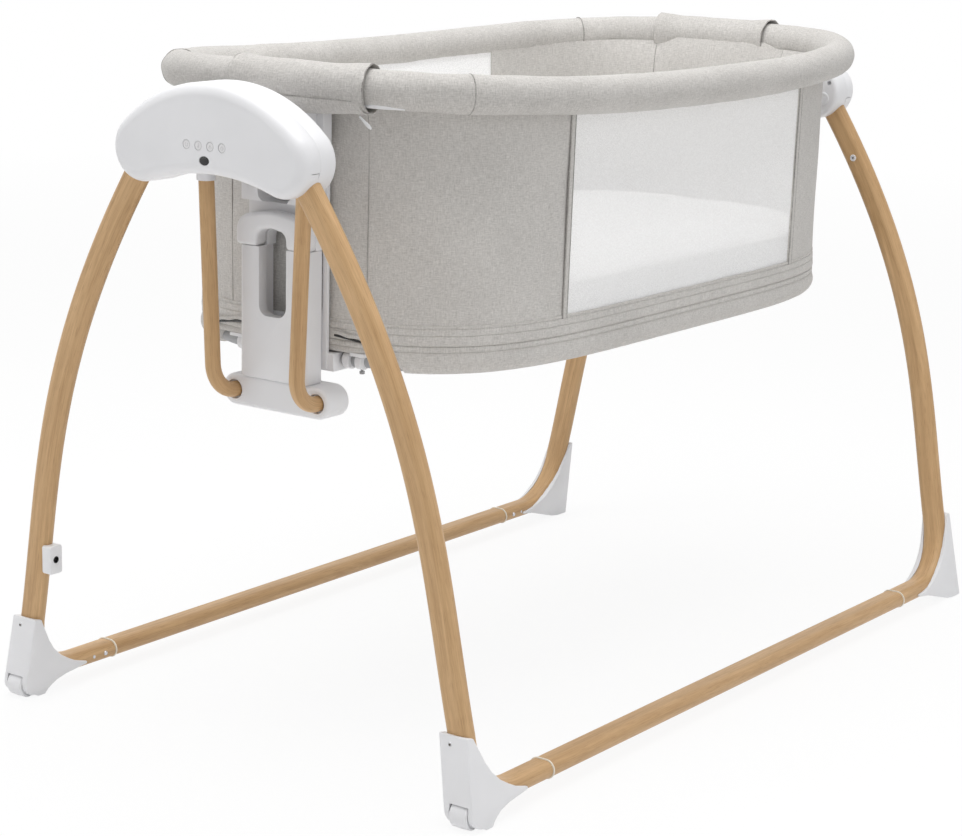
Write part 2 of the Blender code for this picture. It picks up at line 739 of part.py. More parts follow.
def roller_axle_hole(side):
    """The blind bearing holes in the foot's two cheeks."""
    reach = ROLLER_HALF + ROLLER_STUB + GAP
    profile = [(-reach, ROLLER_STUB_R + GAP), (reach, ROLLER_STUB_R + GAP)]
    shape = turned(profile, roller_centre(side), Vector((1, 0, 0)), SNAP_POINTS)
    return add_cutter(f"{side}_roller_axle", shape)


def make_roller(side, stand):
    """A crowned roller with its axle stubs moulded on."""
    stub = ROLLER_HALF + ROLLER_STUB
    profile = [
        (-stub, ROLLER_STUB_R),
        (-ROLLER_HALF, ROLLER_STUB_R),
        (-ROLLER_HALF, ROLLER_EDGE_R),
        (-ROLLER_HALF / 2, ROLLER_R),
        (ROLLER_HALF / 2, ROLLER_R),
        (ROLLER_HALF, ROLLER_EDGE_R),
        (ROLLER_HALF, ROLLER_STUB_R),
        (stub, ROLLER_STUB_R),
    ]
    centre = roller_centre(side)
    body = make_body(f"{side}_roller_spin", centre, stand)
    tyre = turned(profile, centre, Vector((1, 0, 0)), ROLLER_POINTS)
    add_piece(f"{side}_roller", tyre, WHITE_PLASTIC, body)


def bean(inset):
    """The housing's outline, this far in from its edge: four tangent arcs about fixed centres."""
    rise, dip = HOUSING_RISE, -HOUSING_DIP
    top_r = (HOUSING_LOBE_X**2 + rise**2 - HOUSING_LOBE_R**2) / (2 * (rise - HOUSING_LOBE_R))
    under_r = (HOUSING_LOBE_X**2 + dip**2 - HOUSING_LOBE_R**2) / (2 * (dip + HOUSING_LOBE_R))
    top_z = HOUSING_TOP_Z - top_r
    under_z = HOUSING_UNDER_Z - under_r
    to_top = math.atan2(HOUSING_LOBE_Z - top_z, HOUSING_LOBE_X)
    to_under = math.atan2(HOUSING_LOBE_Z - under_z, HOUSING_LOBE_X)
    lobe_r = HOUSING_LOBE_R - inset
    right = arc((HOUSING_LOBE_X, HOUSING_LOBE_Z), lobe_r, to_top, to_under - math.pi, LOBE_STEPS)
    under = arc((0, under_z), under_r + inset, to_under, math.pi - to_under, UNDER_STEPS)
    left = arc((-HOUSING_LOBE_X, HOUSING_LOBE_Z), lobe_r, -to_under, -math.pi - to_top, LOBE_STEPS)
    top = arc((0, top_z), top_r - inset, math.pi - to_top, to_top, TOP_STEPS)
    return right + under[1:-1] + left + top[1:-1]


def cover_stations(face, into, rounding, steps):
    """Rings of one housing cover, from its face to the split and back inside. Into points at the split."""
    stations = []
    for step in range(steps + 1):
        turn = math.pi / 2 * step / steps
        inset = rounding * (1 - math.sin(turn))
        stations.append((face + into * rounding * (1 - math.cos(turn)), bean(inset)))
    split = SPLIT_Y - into * GAP / 2
    inside = face + into * HOUSING_WALL
    stations.append((split, bean(0)))
    stations.append((split, bean(HOUSING_WALL)))
    stations.append((inside + into * HOUSING_INNER_ROUND, bean(HOUSING_WALL)))
    stations.append((inside, bean(HOUSING_WALL + HOUSING_INNER_ROUND)))
    return stations


def cut_legs(cover, end):
    """Lets both legs of this end into a cover."""
    for side in SIDES:
        combine(cover, bpy.data.objects[f"shape_{end}_{side}_leg"])


def make_face_cover(end, name, stand):
    """The outer cover of a housing, with a broad rolled edge."""
    stations = cover_stations(FACE_Y, -1, HOUSING_FACE_ROUND, FACE_ROUND_STEPS)
    cover = add_piece(name, plate(None, 0, 0, end, stations), WHITE_PLASTIC, stand)
    cut_legs(cover, end)
    return cover


def make_back_cover(end, name, stand):
    """The inner cover of a housing: a bush seat in the middle, and a boss and a screw recess at each lobe."""
    stations = cover_stations(BACK_Y, 1, HOUSING_BACK_ROUND, BACK_ROUND_STEPS)
    cover = add_piece(name, plate(None, 0, 0, end, stations), WHITE_PLASTIC, stand)
    along = at(0, 1, 0, end)
    pivot = at(0, BACK_Y, PIVOT_Z, end)
    seat_r = BUSH_R + BUSH_WALL_ROUND
    seat = turned([(HOUSING_WALL / 2, seat_r), (BUSH_REACH, seat_r)], pivot, along, ROLLER_POINTS)
    combine(cover, add_cutter(f"{end}_bush_seat", seat), "UNION")
    hole_r = BUSH_R + GAP
    hole = turned([(-OVERRUN, hole_r), (BUSH_REACH + OVERRUN, hole_r)], pivot, along, ROLLER_POINTS)
    combine(cover, add_cutter(f"{end}_bush_hole", hole))
    for side, sign in SIDES.items():
        boss_at = at(sign * BOSS_X, BACK_Y, HOUSING_LOBE_Z - BOSS_DROP, end)
        boss = turned([(HOUSING_WALL / 2, BOSS_R), (-BOSS_PROUD, BOSS_R)], boss_at, along, DETAIL_POINTS)
        combine(cover, add_cutter(f"{end}_{side}_boss", boss), "UNION")
        recess_at = at(sign * RECESS_X, BACK_Y, HOUSING_LOBE_Z + RECESS_RISE, end)
        recess = turned([(RECESS_DEPTH, RECESS_R), (-OVERRUN, RECESS_R)], recess_at, along, DETAIL_POINTS)
        combine(cover, add_cutter(f"{end}_{side}_recess", recess))
    cut_legs(cover, end)
    return cover


def button_x(index):
    """The place across the face of one control button."""
    return (index - (BUTTON_COUNT - 1) / 2) * BUTTON_PITCH


def lens_outline(room=0.0):
    """The receiver window's oval, as an (x, z) outline."""
    turns = [2 * math.pi * index / DETAIL_POINTS for index in range(DETAIL_POINTS)]
    middle = HOUSING_LOBE_Z - LENS_DROP
    wide, tall = LENS_HALF_X + room, LENS_HALF_Z + room
    return [(wide * math.cos(turn), middle + tall * math.sin(turn)) for turn in turns]


def make_controls(face_cover, stand):
    """Four push buttons and the receiver window in their holes in the face, and two posts for the board."""
    outwards = at(0, 1, 0, "front")
    for index in range(BUTTON_COUNT):
        centre = at(button_x(index), FACE_Y, HOUSING_LOBE_Z + BUTTON_RISE, "front")
        radius = BUTTON_R + GAP
        hole = turned([(-HOUSING_WALL - OVERRUN, radius), (OVERRUN, radius)], centre, outwards, DETAIL_POINTS)
        combine(face_cover, add_cutter(f"button_hole_{index + 1}", hole))
        body = make_body(f"control_button_{index + 1}_slide", centre, stand)
        profile = [(-FACE_SINK - BUTTON_LENGTH, BUTTON_R), (-FACE_SINK, BUTTON_R)]
        name = f"control_button_{index + 1}"
        add_piece(name, turned(profile, centre, outwards, DETAIL_POINTS), WHITE_PLASTIC, body)
    inside = FACE_Y - HOUSING_WALL
    hole = plate(lens_outline(GAP), inside - OVERRUN, FACE_Y + OVERRUN, "front")
    combine(face_cover, add_cutter("lens_hole", hole))
    lens = plate(lens_outline(), FACE_Y - FACE_SINK - LENS_DEPTH, FACE_Y - FACE_SINK, "front")
    add_piece("receiver_window", lens, BLACK_PLASTIC, stand)
    for side, sign in SIDES.items():
        root = at(sign * POST_X, inside, HOUSING_LOBE_Z + POST_RISE, "front")
        reach = BOARD_BEHIND_FACE - HOUSING_WALL - GAP
        post = turned([(-reach, POST_R), (HOUSING_WALL / 2, POST_R)], root, outwards, DETAIL_POINTS)
        combine(face_cover, add_cutter(f"{side}_board_post", post), "UNION")


def make_electronics(stand):
    """The circuit board on its posts, the loudspeaker behind the face, and the drive coil."""
    board_face = FACE_Y - BOARD_BEHIND_FACE
    low = HOUSING_LOBE_Z - BOARD_DROP
    top = HOUSING_LOBE_Z + BOARD_RISE
    board = block(BOARD_HALF_X, board_face - BOARD_THICK, board_face, low, top, "front")
    add_piece("circuit_board", board, BOARD_GREEN, stand)
    front = FACE_Y - HOUSING_WALL - GAP
    centre = at(SPEAKER_X, front, HOUSING_LOBE_Z + SPEAKER_RISE, "front")
    rim = [(0, SPEAKER_R), (-SPEAKER_RIM, SPEAKER_R), (-SPEAKER_DEPTH / 2, SPEAKER_MAGNET_R)]
    rim.append((-SPEAKER_DEPTH, SPEAKER_MAGNET_R))
    add_piece("loudspeaker", turned(rim, centre, at(0, 1, 0, "front"), ROLLER_POINTS), BLACK_PLASTIC, stand)
    magnet_low = PIVOT_Z - DRIVE_ARM - MAGNET_TALL - GAP
    coil_low = HOUSING_UNDER_Z + HOUSING_WALL + GAP
    near = SPLIT_Y - COIL_DEEP / 2
    coil = block(COIL_HALF_X, near, near + COIL_DEEP, coil_low, magnet_low - COIL_AIR_GAP, "front")
    add_piece("drive_coil", coil, COPPER_WINDING, stand)


def make_bush(end, stand):
    """The flanged bush that a swing shaft turns in."""
    bore = SHAFT_R + GAP
    flange = YOKE_STANDOFF - GAP
    profile = [
        (-flange, bore),
        (-flange, BUSH_FLANGE_R),
        (-GAP, BUSH_FLANGE_R),
        (-GAP, BUSH_R),
        (BUSH_REACH, BUSH_R),
        (BUSH_REACH, bore),
    ]
    centre = at(0, BACK_Y, PIVOT_Z, end)
    axis = at(0, 1, 0, end)
    rings = []
    for along, radius in profile:
        rings.append([centre + axis * along + Vector((a, 0, b)) for a, b in circle(radius, ROLLER_POINTS)])
    add_piece(f"{end}_bush", lofted(rings, closed=True), ACETAL, stand)


def make_shaft(end, swing):
    """The swing shaft, fixed in its yoke. The front one carries the arm that holds the drive magnet."""
    tip = SPLIT_Y - BACK_Y + DRIVE_ARM_THICK / 2
    start = -YOKE_STANDOFF - YOKE_DEEP + SHAFT_TAIL
    centre = at(0, BACK_Y, PIVOT_Z, end)
    axis = at(0, 1, 0, end)
    shaft = turned([(start, SHAFT_R), (tip, SHAFT_R)], centre, axis, ROLLER_POINTS)
    piece = add_piece(f"{end}_shaft", shaft, BRIGHT_STEEL, swing)
    if end == "front":
        near = SPLIT_Y - DRIVE_ARM_THICK / 2
        low = PIVOT_Z - DRIVE_ARM
        arm = block(DRIVE_ARM_WIDE / 2, near + GAP, near + DRIVE_ARM_THICK - GAP, low, PIVOT_Z, end)
        combine(piece, add_cutter("drive_arm", arm), "UNION")
        top = low - GAP
        near = SPLIT_Y - MAGNET_DEEP / 2
        magnet = block(MAGNET_WIDE / 2, near, near + MAGNET_DEEP, top - MAGNET_TALL, top, end)
        add_piece("drive_magnet", magnet, BRIGHT_STEEL, swing)


def hanger_x(up):
    """The hangers draw together a little on the way down."""
    top = SOCKET_LOW_Z + SOCKET_DEPTH
    share = (up - CROSSBAR_Z) / (top - CROSSBAR_Z)
    return HANGER_LOW_X + (HANGER_TOP_X - HANGER_LOW_X) * share


def yoke_outline():
    """Front view of a yoke: a hub with shoulders falling to two sockets, and an arch between them."""
    wide = hanger_x(SOCKET_LOW_Z) + SOCKET_R
    gap = hanger_x(SOCKET_LOW_Z) - SOCKET_R
    tall = PIVOT_Z + YOKE_HUB_R - SOCKET_LOW_Z
    outer = [(share * wide, SOCKET_LOW_Z + up * tall) for share, up in YOKE_SHOULDER_SHARES]
    inner = [(share * gap, SOCKET_LOW_Z + up * tall) for share, up in YOKE_INNER_SHARES]
    right = outer + [(wide, SOCKET_LOW_Z), (gap, SOCKET_LOW_Z)] + inner
    left = [(-x, z) for x, z in right[::-1] if x > 0]
    return right + left


def hanger_path(end, side):
    """A hanger's centre line: down from its socket, then round into the cross bar."""
    sign = SIDES[side]
    top = SOCKET_LOW_Z + SOCKET_DEPTH
    bend_z = CROSSBAR_Z + HANGER_BEND_R
    low = SOCKET_LOW_Z
    path = [at(sign * hanger_x(top), HANGER_Y, top, end), at(sign * hanger_x(low), HANGER_Y, low, end)]
    for step in range(HANGER_BEND_STEPS + 1):
        turn = math.pi / 2 * step / HANGER_BEND_STEPS
        up = bend_z - HANGER_BEND_R * math.sin(turn)
        out = HANGER_Y - HANGER_BEND_R * (1 - math.cos(turn))
        path.append(at(sign * hanger_x(up), out, up, end))
    path.append(at(sign * HANGER_LOW_X, CROSSBAR_FACE_Y - HANGER_SEAT, CROSSBAR_Z, end))
    return path


def make_hanger(end, side, swing):
    """One J-shaped tube."""
    path = hanger_path(end, side)
    hint = Vector((1, 0, 0))
    outer = swept_rings(path, circle(HANGER_R, HANGER_POINTS), hint)
    inner = swept_rings(path, circle(HANGER_R - HANGER_WALL, HANGER_POINTS), hint)
    add_piece(f"{end}_{side}_hanger", lofted(outer + inner[::-1], closed=True), WOOD_FILM, swing)


def hanger_cutter(end, side):
    """The hanger's own shape with its fit, and a little more at both ends."""
    path = hanger_path(end, side)
    path[0] += Vector((0, 0, GAP))
    path[-1] -= at(0, GAP, 0, end)
    section = circle(HANGER_R + GAP, HANGER_POINTS)
    return add_cutter(f"{end}_{side}_hanger", lofted(swept_rings(path, section, Vector((1, 0, 0)))))


def make_yoke(end, swing):
    """The casting between a swing shaft and its two hangers."""
    shape = plate(yoke_outline(), YOKE_NEAR_Y, YOKE_FAR_Y, end)
    sign = ENDS[end]

    def on_faces(edge):
        return on_plane(edge, 1, sign * YOKE_NEAR_Y) or on_plane(edge, 1, sign * YOKE_FAR_Y)

    yoke = add_piece(f"{end}_yoke", bevelled(shape, on_faces, YOKE_ROUND, 1), WHITE_PLASTIC, swing)
    start = YOKE_NEAR_Y + SHAFT_TAIL - GAP
    centre = at(0, start, PIVOT_Z, end)
    radius = SHAFT_R + GAP
    bore = turned([(0, radius), (YOKE_DEEP, radius)], centre, at(0, 1, 0, end), ROLLER_POINTS)
    combine(yoke, add_cutter(f"{end}_yoke_bore", bore))
    for side in SIDES:
        combine(yoke, bpy.data.objects[f"shape_{end}_{side}_hanger"])


def pill(inset):
    """The cross bar's outline, this far in from its edge."""
    radius = CROSSBAR_R - inset
    right = arc((HANGER_LOW_X, CROSSBAR_Z), radius, -math.pi / 2, math.pi / 2, ARC_STEPS)
    left = arc((-HANGER_LOW_X, CROSSBAR_Z), radius, math.pi / 2, 3 * math.pi / 2, ARC_STEPS)
    return right + left


def make_crossbar(end, swing):
    """The pill-shaped bar that both hangers turn into, with a wider mouth round each."""
    far = CROSSBAR_FACE_Y
    near = CROSSBAR_FACE_Y - CROSSBAR_DEEP
    edge = CROSSBAR_ROUND
    half_way = edge * (1 - math.sqrt(0.5))
    stations = [
        (near, pill(edge)),
        (near + half_way, pill(half_way)),
        (near + edge, pill(0)),
        (far - edge, pill(0)),
        (far - half_way, pill(half_way)),
        (far, pill(edge)),
    ]
    bar = add_piece(f"{end}_crossbar", plate(None, 0, 0, end, stations), WHITE_PLASTIC, swing)
    for side, sign in SIDES.items():
        mouth_at = at(sign * HANGER_LOW_X, far, CROSSBAR_Z, end)
        profile = [(-CROSSBAR_MOUTH_DEPTH, CROSSBAR_MOUTH_R), (OVERRUN, CROSSBAR_MOUTH_R)]
        mouth = turned(profile, mouth_at, at(0, 1, 0, end), ROLLER_POINTS)
        combine(bar, add_cutter(f"{end}_{side}_mouth", mouth))
        combine(bar, bpy.data.objects[f"shape_{end}_{side}_hanger"])


def make_column(end, swing):
    """The upright moulding on a cross bar: two hollow prongs with a round-bottomed window between them."""
    far, near = COLUMN_FACE_Y, COLUMN_BACK_Y
    shape = upright(COLUMN_HALF, near, far, COLUMN_LOW_Z, COLUMN_TOP_Z, COLUMN_ROUND, end)
    column = add_piece(f"{end}_column", shape, WHITE_PLASTIC, swing)
    window = rounded_hole(WINDOW_HALF, WINDOW_LOW_Z, COLUMN_TOP_Z + 2 * WINDOW_ROUND, WINDOW_ROUND)
    tool = plate(window, near - OVERRUN, far + OVERRUN, end)
    combine(column, add_cutter(f"{end}_column_window", tool))
    half_deep = TONGUE_DEEP / 2 + GAP
    low = COLUMN_TOP_Z - TONGUE_REACH - TONGUE_SLOT_ROOM
    for side, sign in SIDES.items():
        slot = block(
            TONGUE_WIDE / 2 + GAP,
            TONGUE_Y - half_deep,
            TONGUE_Y + half_deep,
            low,
            COLUMN_TOP_Z + OVERRUN,
            end,
            sign * TONGUE_X,
        )
        combine(column, add_cutter(f"{end}_{side}_tongue_slot", slot))


def carrier_profile():
    """Side view of a carrier's body, as (distance out, height): a web, a pad in front and a saddle on top."""
    back = FLANGE_FAR_Y - GAP
    web = back + CARRIER_BACK_DEEP
    pad = web + CARRIER_PAD_PROUD
    pad_low = COLUMN_TOP_Z + CARRIER_PAD_RISE
    saddle_low = COLUMN_TOP_Z + CARRIER_SADDLE_LOW
    top = saddle_low + CARRIER_SADDLE_TALL
    return [
        (back, CARRIER_LOW_Z),
        (web, CARRIER_LOW_Z),
        (web, pad_low),
        (pad, pad_low + CARRIER_PANEL_PROUD),
        (pad, saddle_low),
        (back + CARRIER_SADDLE_DEEP, top),
        (back, top),
    ]


def make_carrier(end, basket):
    """The bracket that stands on a column: tongues below, the rim's saddle above, the bottom tube's below."""
    half = COLUMN_HALF
    profile = carrier_profile()
    body = lofted([[at(x, out, up, end) for out, up in profile] for x in (-half, half)])
    carrier = add_piece(f"{end}_carrier", body, WHITE_PLASTIC, basket)
    back = FLANGE_FAR_Y - GAP
    low = COLUMN_TOP_Z + CARRIER_SADDLE_LOW
    top = low + CARRIER_SADDLE_TALL
    overlap = FLANGE_THICK / 2
    saddle = block(CARRIER_SADDLE_HALF, back + overlap / 2, back + CARRIER_BACK_DEEP, low, top - overlap, end)
    combine(carrier, add_cutter(f"{end}_saddle", saddle), "UNION")
    panel_top = COLUMN_TOP_Z + CARRIER_SADDLE_LOW / 2
    pad = back + CARRIER_BACK_DEEP + CARRIER_PAD_PROUD
    panel_low = COLUMN_TOP_Z + CARRIER_PAD_RISE + 2 * CARRIER_PANEL_PROUD
    rise, corner = (share * CARRIER_PANEL_HALF for share in CARRIER_PANEL_SHARES)
    panel = rounded_hole(CARRIER_PANEL_HALF, panel_low, panel_top + rise, corner)
    shape = plate(panel, pad - overlap, pad + CARRIER_PANEL_PROUD, end)
    combine(carrier, add_cutter(f"{end}_panel", shape), "UNION")
    for side, sign in SIDES.items():
        tongue = block(
            TONGUE_WIDE / 2,
            TONGUE_Y - TONGUE_DEEP / 2,
            TONGUE_Y + TONGUE_DEEP / 2,
            COLUMN_TOP_Z - TONGUE_REACH,
            CARRIER_LOW_Z + overlap,
            end,
            sign * TONGUE_X,
        )
        combine(carrier, add_cutter(f"{end}_{side}_tongue", tongue), "UNION")
    add_flange(carrier, end)
    hand_low = COLUMN_TOP_Z + HAND_HOLE_RISE
    slot_top = COLUMN_TOP_Z + HANDLE_INNER_TALL
    hole = rounded_hole(WINDOW_HALF, hand_low, hand_low + HAND_HOLE_TALL, HAND_HOLE_ROUND)
    tool = plate(hole, FLANGE_NEAR_Y - OVERRUN, pad + OVERRUN, end)
    combine(carrier, add_cutter(f"{end}_hand_hole", tool))
    slot = rounded_hole(HANDLE_INNER_HALF, COLUMN_TOP_Z - HANDLE_INNER_TALL, slot_top, HANDLE_INNER_R)
    tool = plate(slot, FLANGE_NEAR_Y - OVERRUN, pad + OVERRUN, end)
    combine(carrier, add_cutter(f"{end}_carrier_slot", tool))
    combine(carrier, bpy.data.objects["shape_rim"])
    combine(carrier, bpy.data.objects["shape_bottom_tube"])


def add_flange(carrier, end):
    """The end plate behind a column, joined to the carrier's body, and its cradle for the bottom tube."""
    low = BOTTOM_TUBE_Z - BOTTOM_TUBE_R - BRACKET_FLOOR
    top = COLUMN_TOP_Z + FLANGE_TOP
    overlap = FLANGE_THICK / 2
    flange = block(FLANGE_HALF, FLANGE_NEAR_Y, FLANGE_FAR_Y, low + overlap, top, end)
    combine(carrier, add_cutter(f"{end}_flange", flange), "UNION")
    near, far = FLANGE_FAR_Y - overlap, FLANGE_FAR_Y + overlap
    joint = block(COLUMN_HALF - overlap, near, far, CARRIER_LOW_Z + overlap, top - overlap, end)
    combine(carrier, add_cutter(f"{end}_flange_joint", joint), "UNION")
    near = BOTTOM_TUBE_END_Y - BOTTOM_TUBE_R - BRACKET_LIP
    cradle = block(BRACKET_HALF, near, FLANGE_FAR_Y - overlap, low, BASKET_LOW_Z - GAP, end)
    combine(carrier, add_cutter(f"{end}_cradle", cradle), "UNION")
    opening = rounded_hole(FLANGE_WINDOW_HALF, WINDOW_LOW_Z, COLUMN_TOP_Z + FLANGE_WINDOW_TOP, WINDOW_ROUND)
    tool = plate(opening, FLANGE_NEAR_Y - OVERRUN, FLANGE_FAR_Y + overlap / 2, end)
    combine(carrier, add_cutter(f"{end}_flange_window", tool))


def handle_outline():
    """Front view of a release handle: an arch with round shoulders over a flatter inner arch."""
    low = CARRIER_LOW_Z + GAP
    top = low + HANDLE_TALL
    inner = low + HANDLE_INNER_TALL
    shoulder = (HANDLE_HALF - HANDLE_SHOULDER_R, top - HANDLE_CROWN - HANDLE_SHOULDER_R)
    hollow = (HANDLE_INNER_HALF - HANDLE_INNER_R, inner - HANDLE_INNER_R)
    right = [(HANDLE_HALF, low)]
    right += arc(shoulder, HANDLE_SHOULDER_R, 0, math.pi / 2, ARC_STEPS - 2)
    crown = [(0, top)]
    left = [(-x, z) for x, z in right[::-1]]
    inside_left = [(-HANDLE_INNER_HALF, low)]
    inside_left += [(-x, z) for x, z in arc(hollow, HANDLE_INNER_R, 0, math.pi / 2, ARC_STEPS - 2)]
    inside_right = [(-x, z) for x, z in inside_left[::-1]]
    return right + crown + left + inside_left + [(0, inner + HANDLE_CROWN / 2)] + inside_right


def make_handle(end, basket):
    """The arch handle that unlocks a carrier: it slides up in front of the carrier's web."""
    near = FLANGE_FAR_Y - GAP + CARRIER_BACK_DEEP + GAP
    far = near + HANDLE_DEEP
    shape = plate(handle_outline(), near, far, end)
    sign = ENDS[end]

    def on_front(edge):
        return on_plane(edge, 1, sign * far)

    body = make_body(f"{end}_handle_slide", at(0, near, CARRIER_LOW_Z, end), basket)
    add_piece(f"{end}_handle", bevelled(shape, on_front, HANDLE_ROUND, 3), WHITE_PLASTIC, body)


def plan_point(turn, half_x, half_y, side_power, end_power):
    """A point of a plan outline that is nearly a rectangle, with bowed sides and round corners."""
    cosine, sine = math.cos(turn), math.sin(turn)
    across = math.copysign(half_x * abs(cosine) ** (2 / side_power), cosine)
    along = math.copysign(half_y * abs(sine) ** (2 / end_power), sine)
    return across, along


def rim_height(along):
    """The rim's centre line dips between its ends."""
    return RIM_Z - RIM_SAG * (1 - (along / RIM_END_Y) ** 2)


def rim_path():
    """The rim's centre line, once round."""
    path = []
    for index in range(RIM_STATIONS):
        turn = 2 * math.pi * (index + 0.5) / RIM_STATIONS
        across, along = plan_point(turn, RIM_HALF_X, RIM_END_Y, PLAN_SIDE_POWER, PLAN_END_POWER)
        path.append(Vector((across, along, rim_height(along))))
    return path


def rim_shape(room=0.0):
    """The padded rim: a round tube, thicker where the end sleeves wrap it."""
    path = rim_path()

    def section(index):
        point = path[index]
        sleeved = abs(point.x) < RIM_SLEEVE_HALF_X and abs(point.y) > RIM_END_Y / 2
        return circle(RIM_R + (RIM_SLEEVE if sleeved else 0) + room, RIM_POINTS)

    return lofted(swept_rings(path, section, Vector((0, 0, 1)), closed=True), closed=True)


def bottom_tube_shape(room=0.0):
    """The coated steel tube that runs round under the basket's floor."""
    path = []
    for index in range(BOTTOM_TUBE_STATIONS):
        turn = 2 * math.pi * (index + 0.5) / BOTTOM_TUBE_STATIONS
        half_x, half_y = BOTTOM_TUBE_HALF_X, BOTTOM_TUBE_END_Y
        across, along = plan_point(turn, half_x, half_y, WALL_SIDE_POWER, WALL_END_POWER)
        path.append(Vector((across, along, BOTTOM_TUBE_Z)))
    section = circle(BOTTOM_TUBE_R + room, BOTTOM_TUBE_POINTS)
    return lofted(swept_rings(path, section, Vector((0, 0, 1)), closed=True), closed=True)


def net_turns(half_y):
    """Turns of the plan outline at the right window's stations, from its front edge to its rear edge."""
    turns = []
    for index in range(NET_STATIONS + 1):
        along = half_y * (2 * index / NET_STATIONS - 1)
        share = abs(along) / SHELL_END_Y
        turns.append(math.copysign(math.asin(share ** (WALL_END_POWER / 2)), along))
    return turns


def shell_turns():
    """The turns of the shell's plan outline: right window, rear end, left window, front end."""
    right = net_turns(NET_HALF_Y)
    rear = list(CORNER_TURNS) + [math.pi / 2] + [math.pi - turn for turn in CORNER_TURNS[::-1]]
    left = [math.pi - turn for turn in right[::-1]]
    front = [turn + math.pi for turn in rear]
    return right + rear + left + front


def shell_half_x(up):
    """The shell widens evenly from its bottom band to the rim."""
    share = (up - BASKET_LOW_Z) / (RIM_Z - RIM_R - BASKET_LOW_Z)
    return SHELL_LOW_HALF_X + (SHELL_TOP_HALF_X - SHELL_LOW_HALF_X) * share


def shell_ring(up, inset, turns=None):
    """One level of the shell's outline. With no height given, it follows the underside of the rim."""
    ring = []
    for turn in turns or shell_turns():
        level = RIM_Z - RIM_SAG - RIM_R if up is None else up
        half_x = shell_half_x(level) - inset
        across, along = plan_point(turn, half_x, SHELL_END_Y - inset, WALL_SIDE_POWER, WALL_END_POWER)
        height = rim_height(along) - SHELL_LIP_DROP if up is None else up
        ring.append(Vector((across, along, height)))
    return ring


def shell_lip(inset):
    """The shell's top edge: the wall's points moved straight out to within the rim, which is then cut out."""
    inwards, downwards = SHELL_LIP_SHARES
    level = inset + inwards * RIM_R
    half_x, half_y = RIM_HALF_X - level, RIM_END_Y - level
    ring = []
    for point in shell_ring(None, inset):
        low, high = LIP_REACH_SHARES
        for _ in range(LIP_HALVINGS):
            middle = (low + high) / 2
            across = abs(point.x * middle / half_x) ** PLAN_SIDE_POWER
            along = abs(point.y * middle / half_y) ** PLAN_END_POWER
            low, high = (middle, high) if across + along < 1 else (low, middle)
        along = point.y * low
        ring.append(Vector((point.x * low, along, rim_height(along) - downwards * RIM_R)))
    return ring


def shell_levels():
    """The shell's rings, up the outside and down the inside, each with the window's two levels."""
    low = BASKET_LOW_Z
    band = [(low + up * SHELL_BAND_TALL, inset * SHELL_BAND_BULGE) for up, inset in SHELL_BAND_INSETS_SHARES]
    net_low = low + NET_LOW
    net_top = net_low + NET_TALL
    outside = [shell_ring(up, inset) for up, inset in band + [(net_low, 0), (net_top, 0), (None, 0)]]
    levels = [(None, SHELL_WALL), (net_top, SHELL_WALL), (net_low, SHELL_WALL), (BASKET_FLOOR_Z, SHELL_WALL)]
    inside = [shell_ring(up, inset) for up, inset in levels]
    return outside + [shell_lip(0)], [shell_lip(SHELL_WALL)] + inside


def make_shell(basket):
    """The fabric tub: a bulging band at the bottom, straight walls above it and a net window on each side."""
    outside, inside = shell_levels()
    shape = bmesh.new()
    loops = [[shape.verts.new(point) for point in ring] for ring in outside + inside]
    count = len(loops[0])
    opening = set(range(NET_STATIONS))
    first_left = NET_STATIONS + 1 + 2 * len(CORNER_TURNS) + 1
    opening |= set(range(first_left, first_left + NET_STATIONS))
    outer_low = len(outside) - 4
    inner_top = len(outside) + 2
    for level in range(len(loops) - 1):
        near, far = loops[level], loops[level + 1]
        for index in range(count):
            if index in opening and level in (outer_low, inner_top):
                continue
            after = (index + 1) % count
            shape.faces.new((near[index], near[after], far[after], far[index]))
    shape.faces.new(loops[0])
    shape.faces.new(loops[-1])
    frame_windows(shape, loops, opening, outer_low, inner_top)
    bmesh.ops.triangulate(shape, faces=shape.faces)
    bmesh.ops.recalc_face_normals(shape, faces=shape.faces)
    shell = add_piece("basket_shell", shape, GREY_FABRIC, basket)
    combine(shell, bpy.data.objects["shape_rim"])


def frame_windows(shape, loops, opening, outer_low, inner_top):
    """Closes the four narrow sides of each window between the outside and the inside of the shell."""
    count = len(loops[0])
    outer = (loops[outer_low], loops[outer_low + 1])
    inner = (loops[inner_top + 1], loops[inner_top])
    for index in sorted(opening):
        after = (index + 1) % count
        for out_loop, in_loop in zip(outer, inner):
            shape.faces.new((out_loop[index], out_loop[after], in_loop[after], in_loop[index]))
        if (index - 1) % count not in opening:
            shape.faces.new((outer[0][index], outer[1][index], inner[1][index], inner[0][index]))
        if after not in opening:
            shape.faces.new((outer[0][after], outer[1][after], inner[1][after], inner[0][after]))


def make_net(side, basket):
    """The net panel in one window, in the middle of the wall's thickness."""
    turns = net_turns(NET_HALF_Y - NET_ROOM)
    if side == "left":
        turns = [math.pi - turn for turn in turns]
    low = BASKET_LOW_Z + NET_LOW + NET_ROOM
    top = BASKET_LOW_Z + NET_LOW + NET_TALL - NET_ROOM
    outer_inset = (SHELL_WALL - NET_THICK) / 2
    inner_inset = outer_inset + NET_THICK
    rings = []
    for up, inset in ((low, outer_inset), (top, outer_inset), (top, inner_inset), (low, inner_inset)):
        rings.append(shell_ring(up, inset, turns))
    columns = [list(column) for column in zip(*rings)]
    add_piece(f"{side}_net", lofted(columns), WHITE_NET, basket)


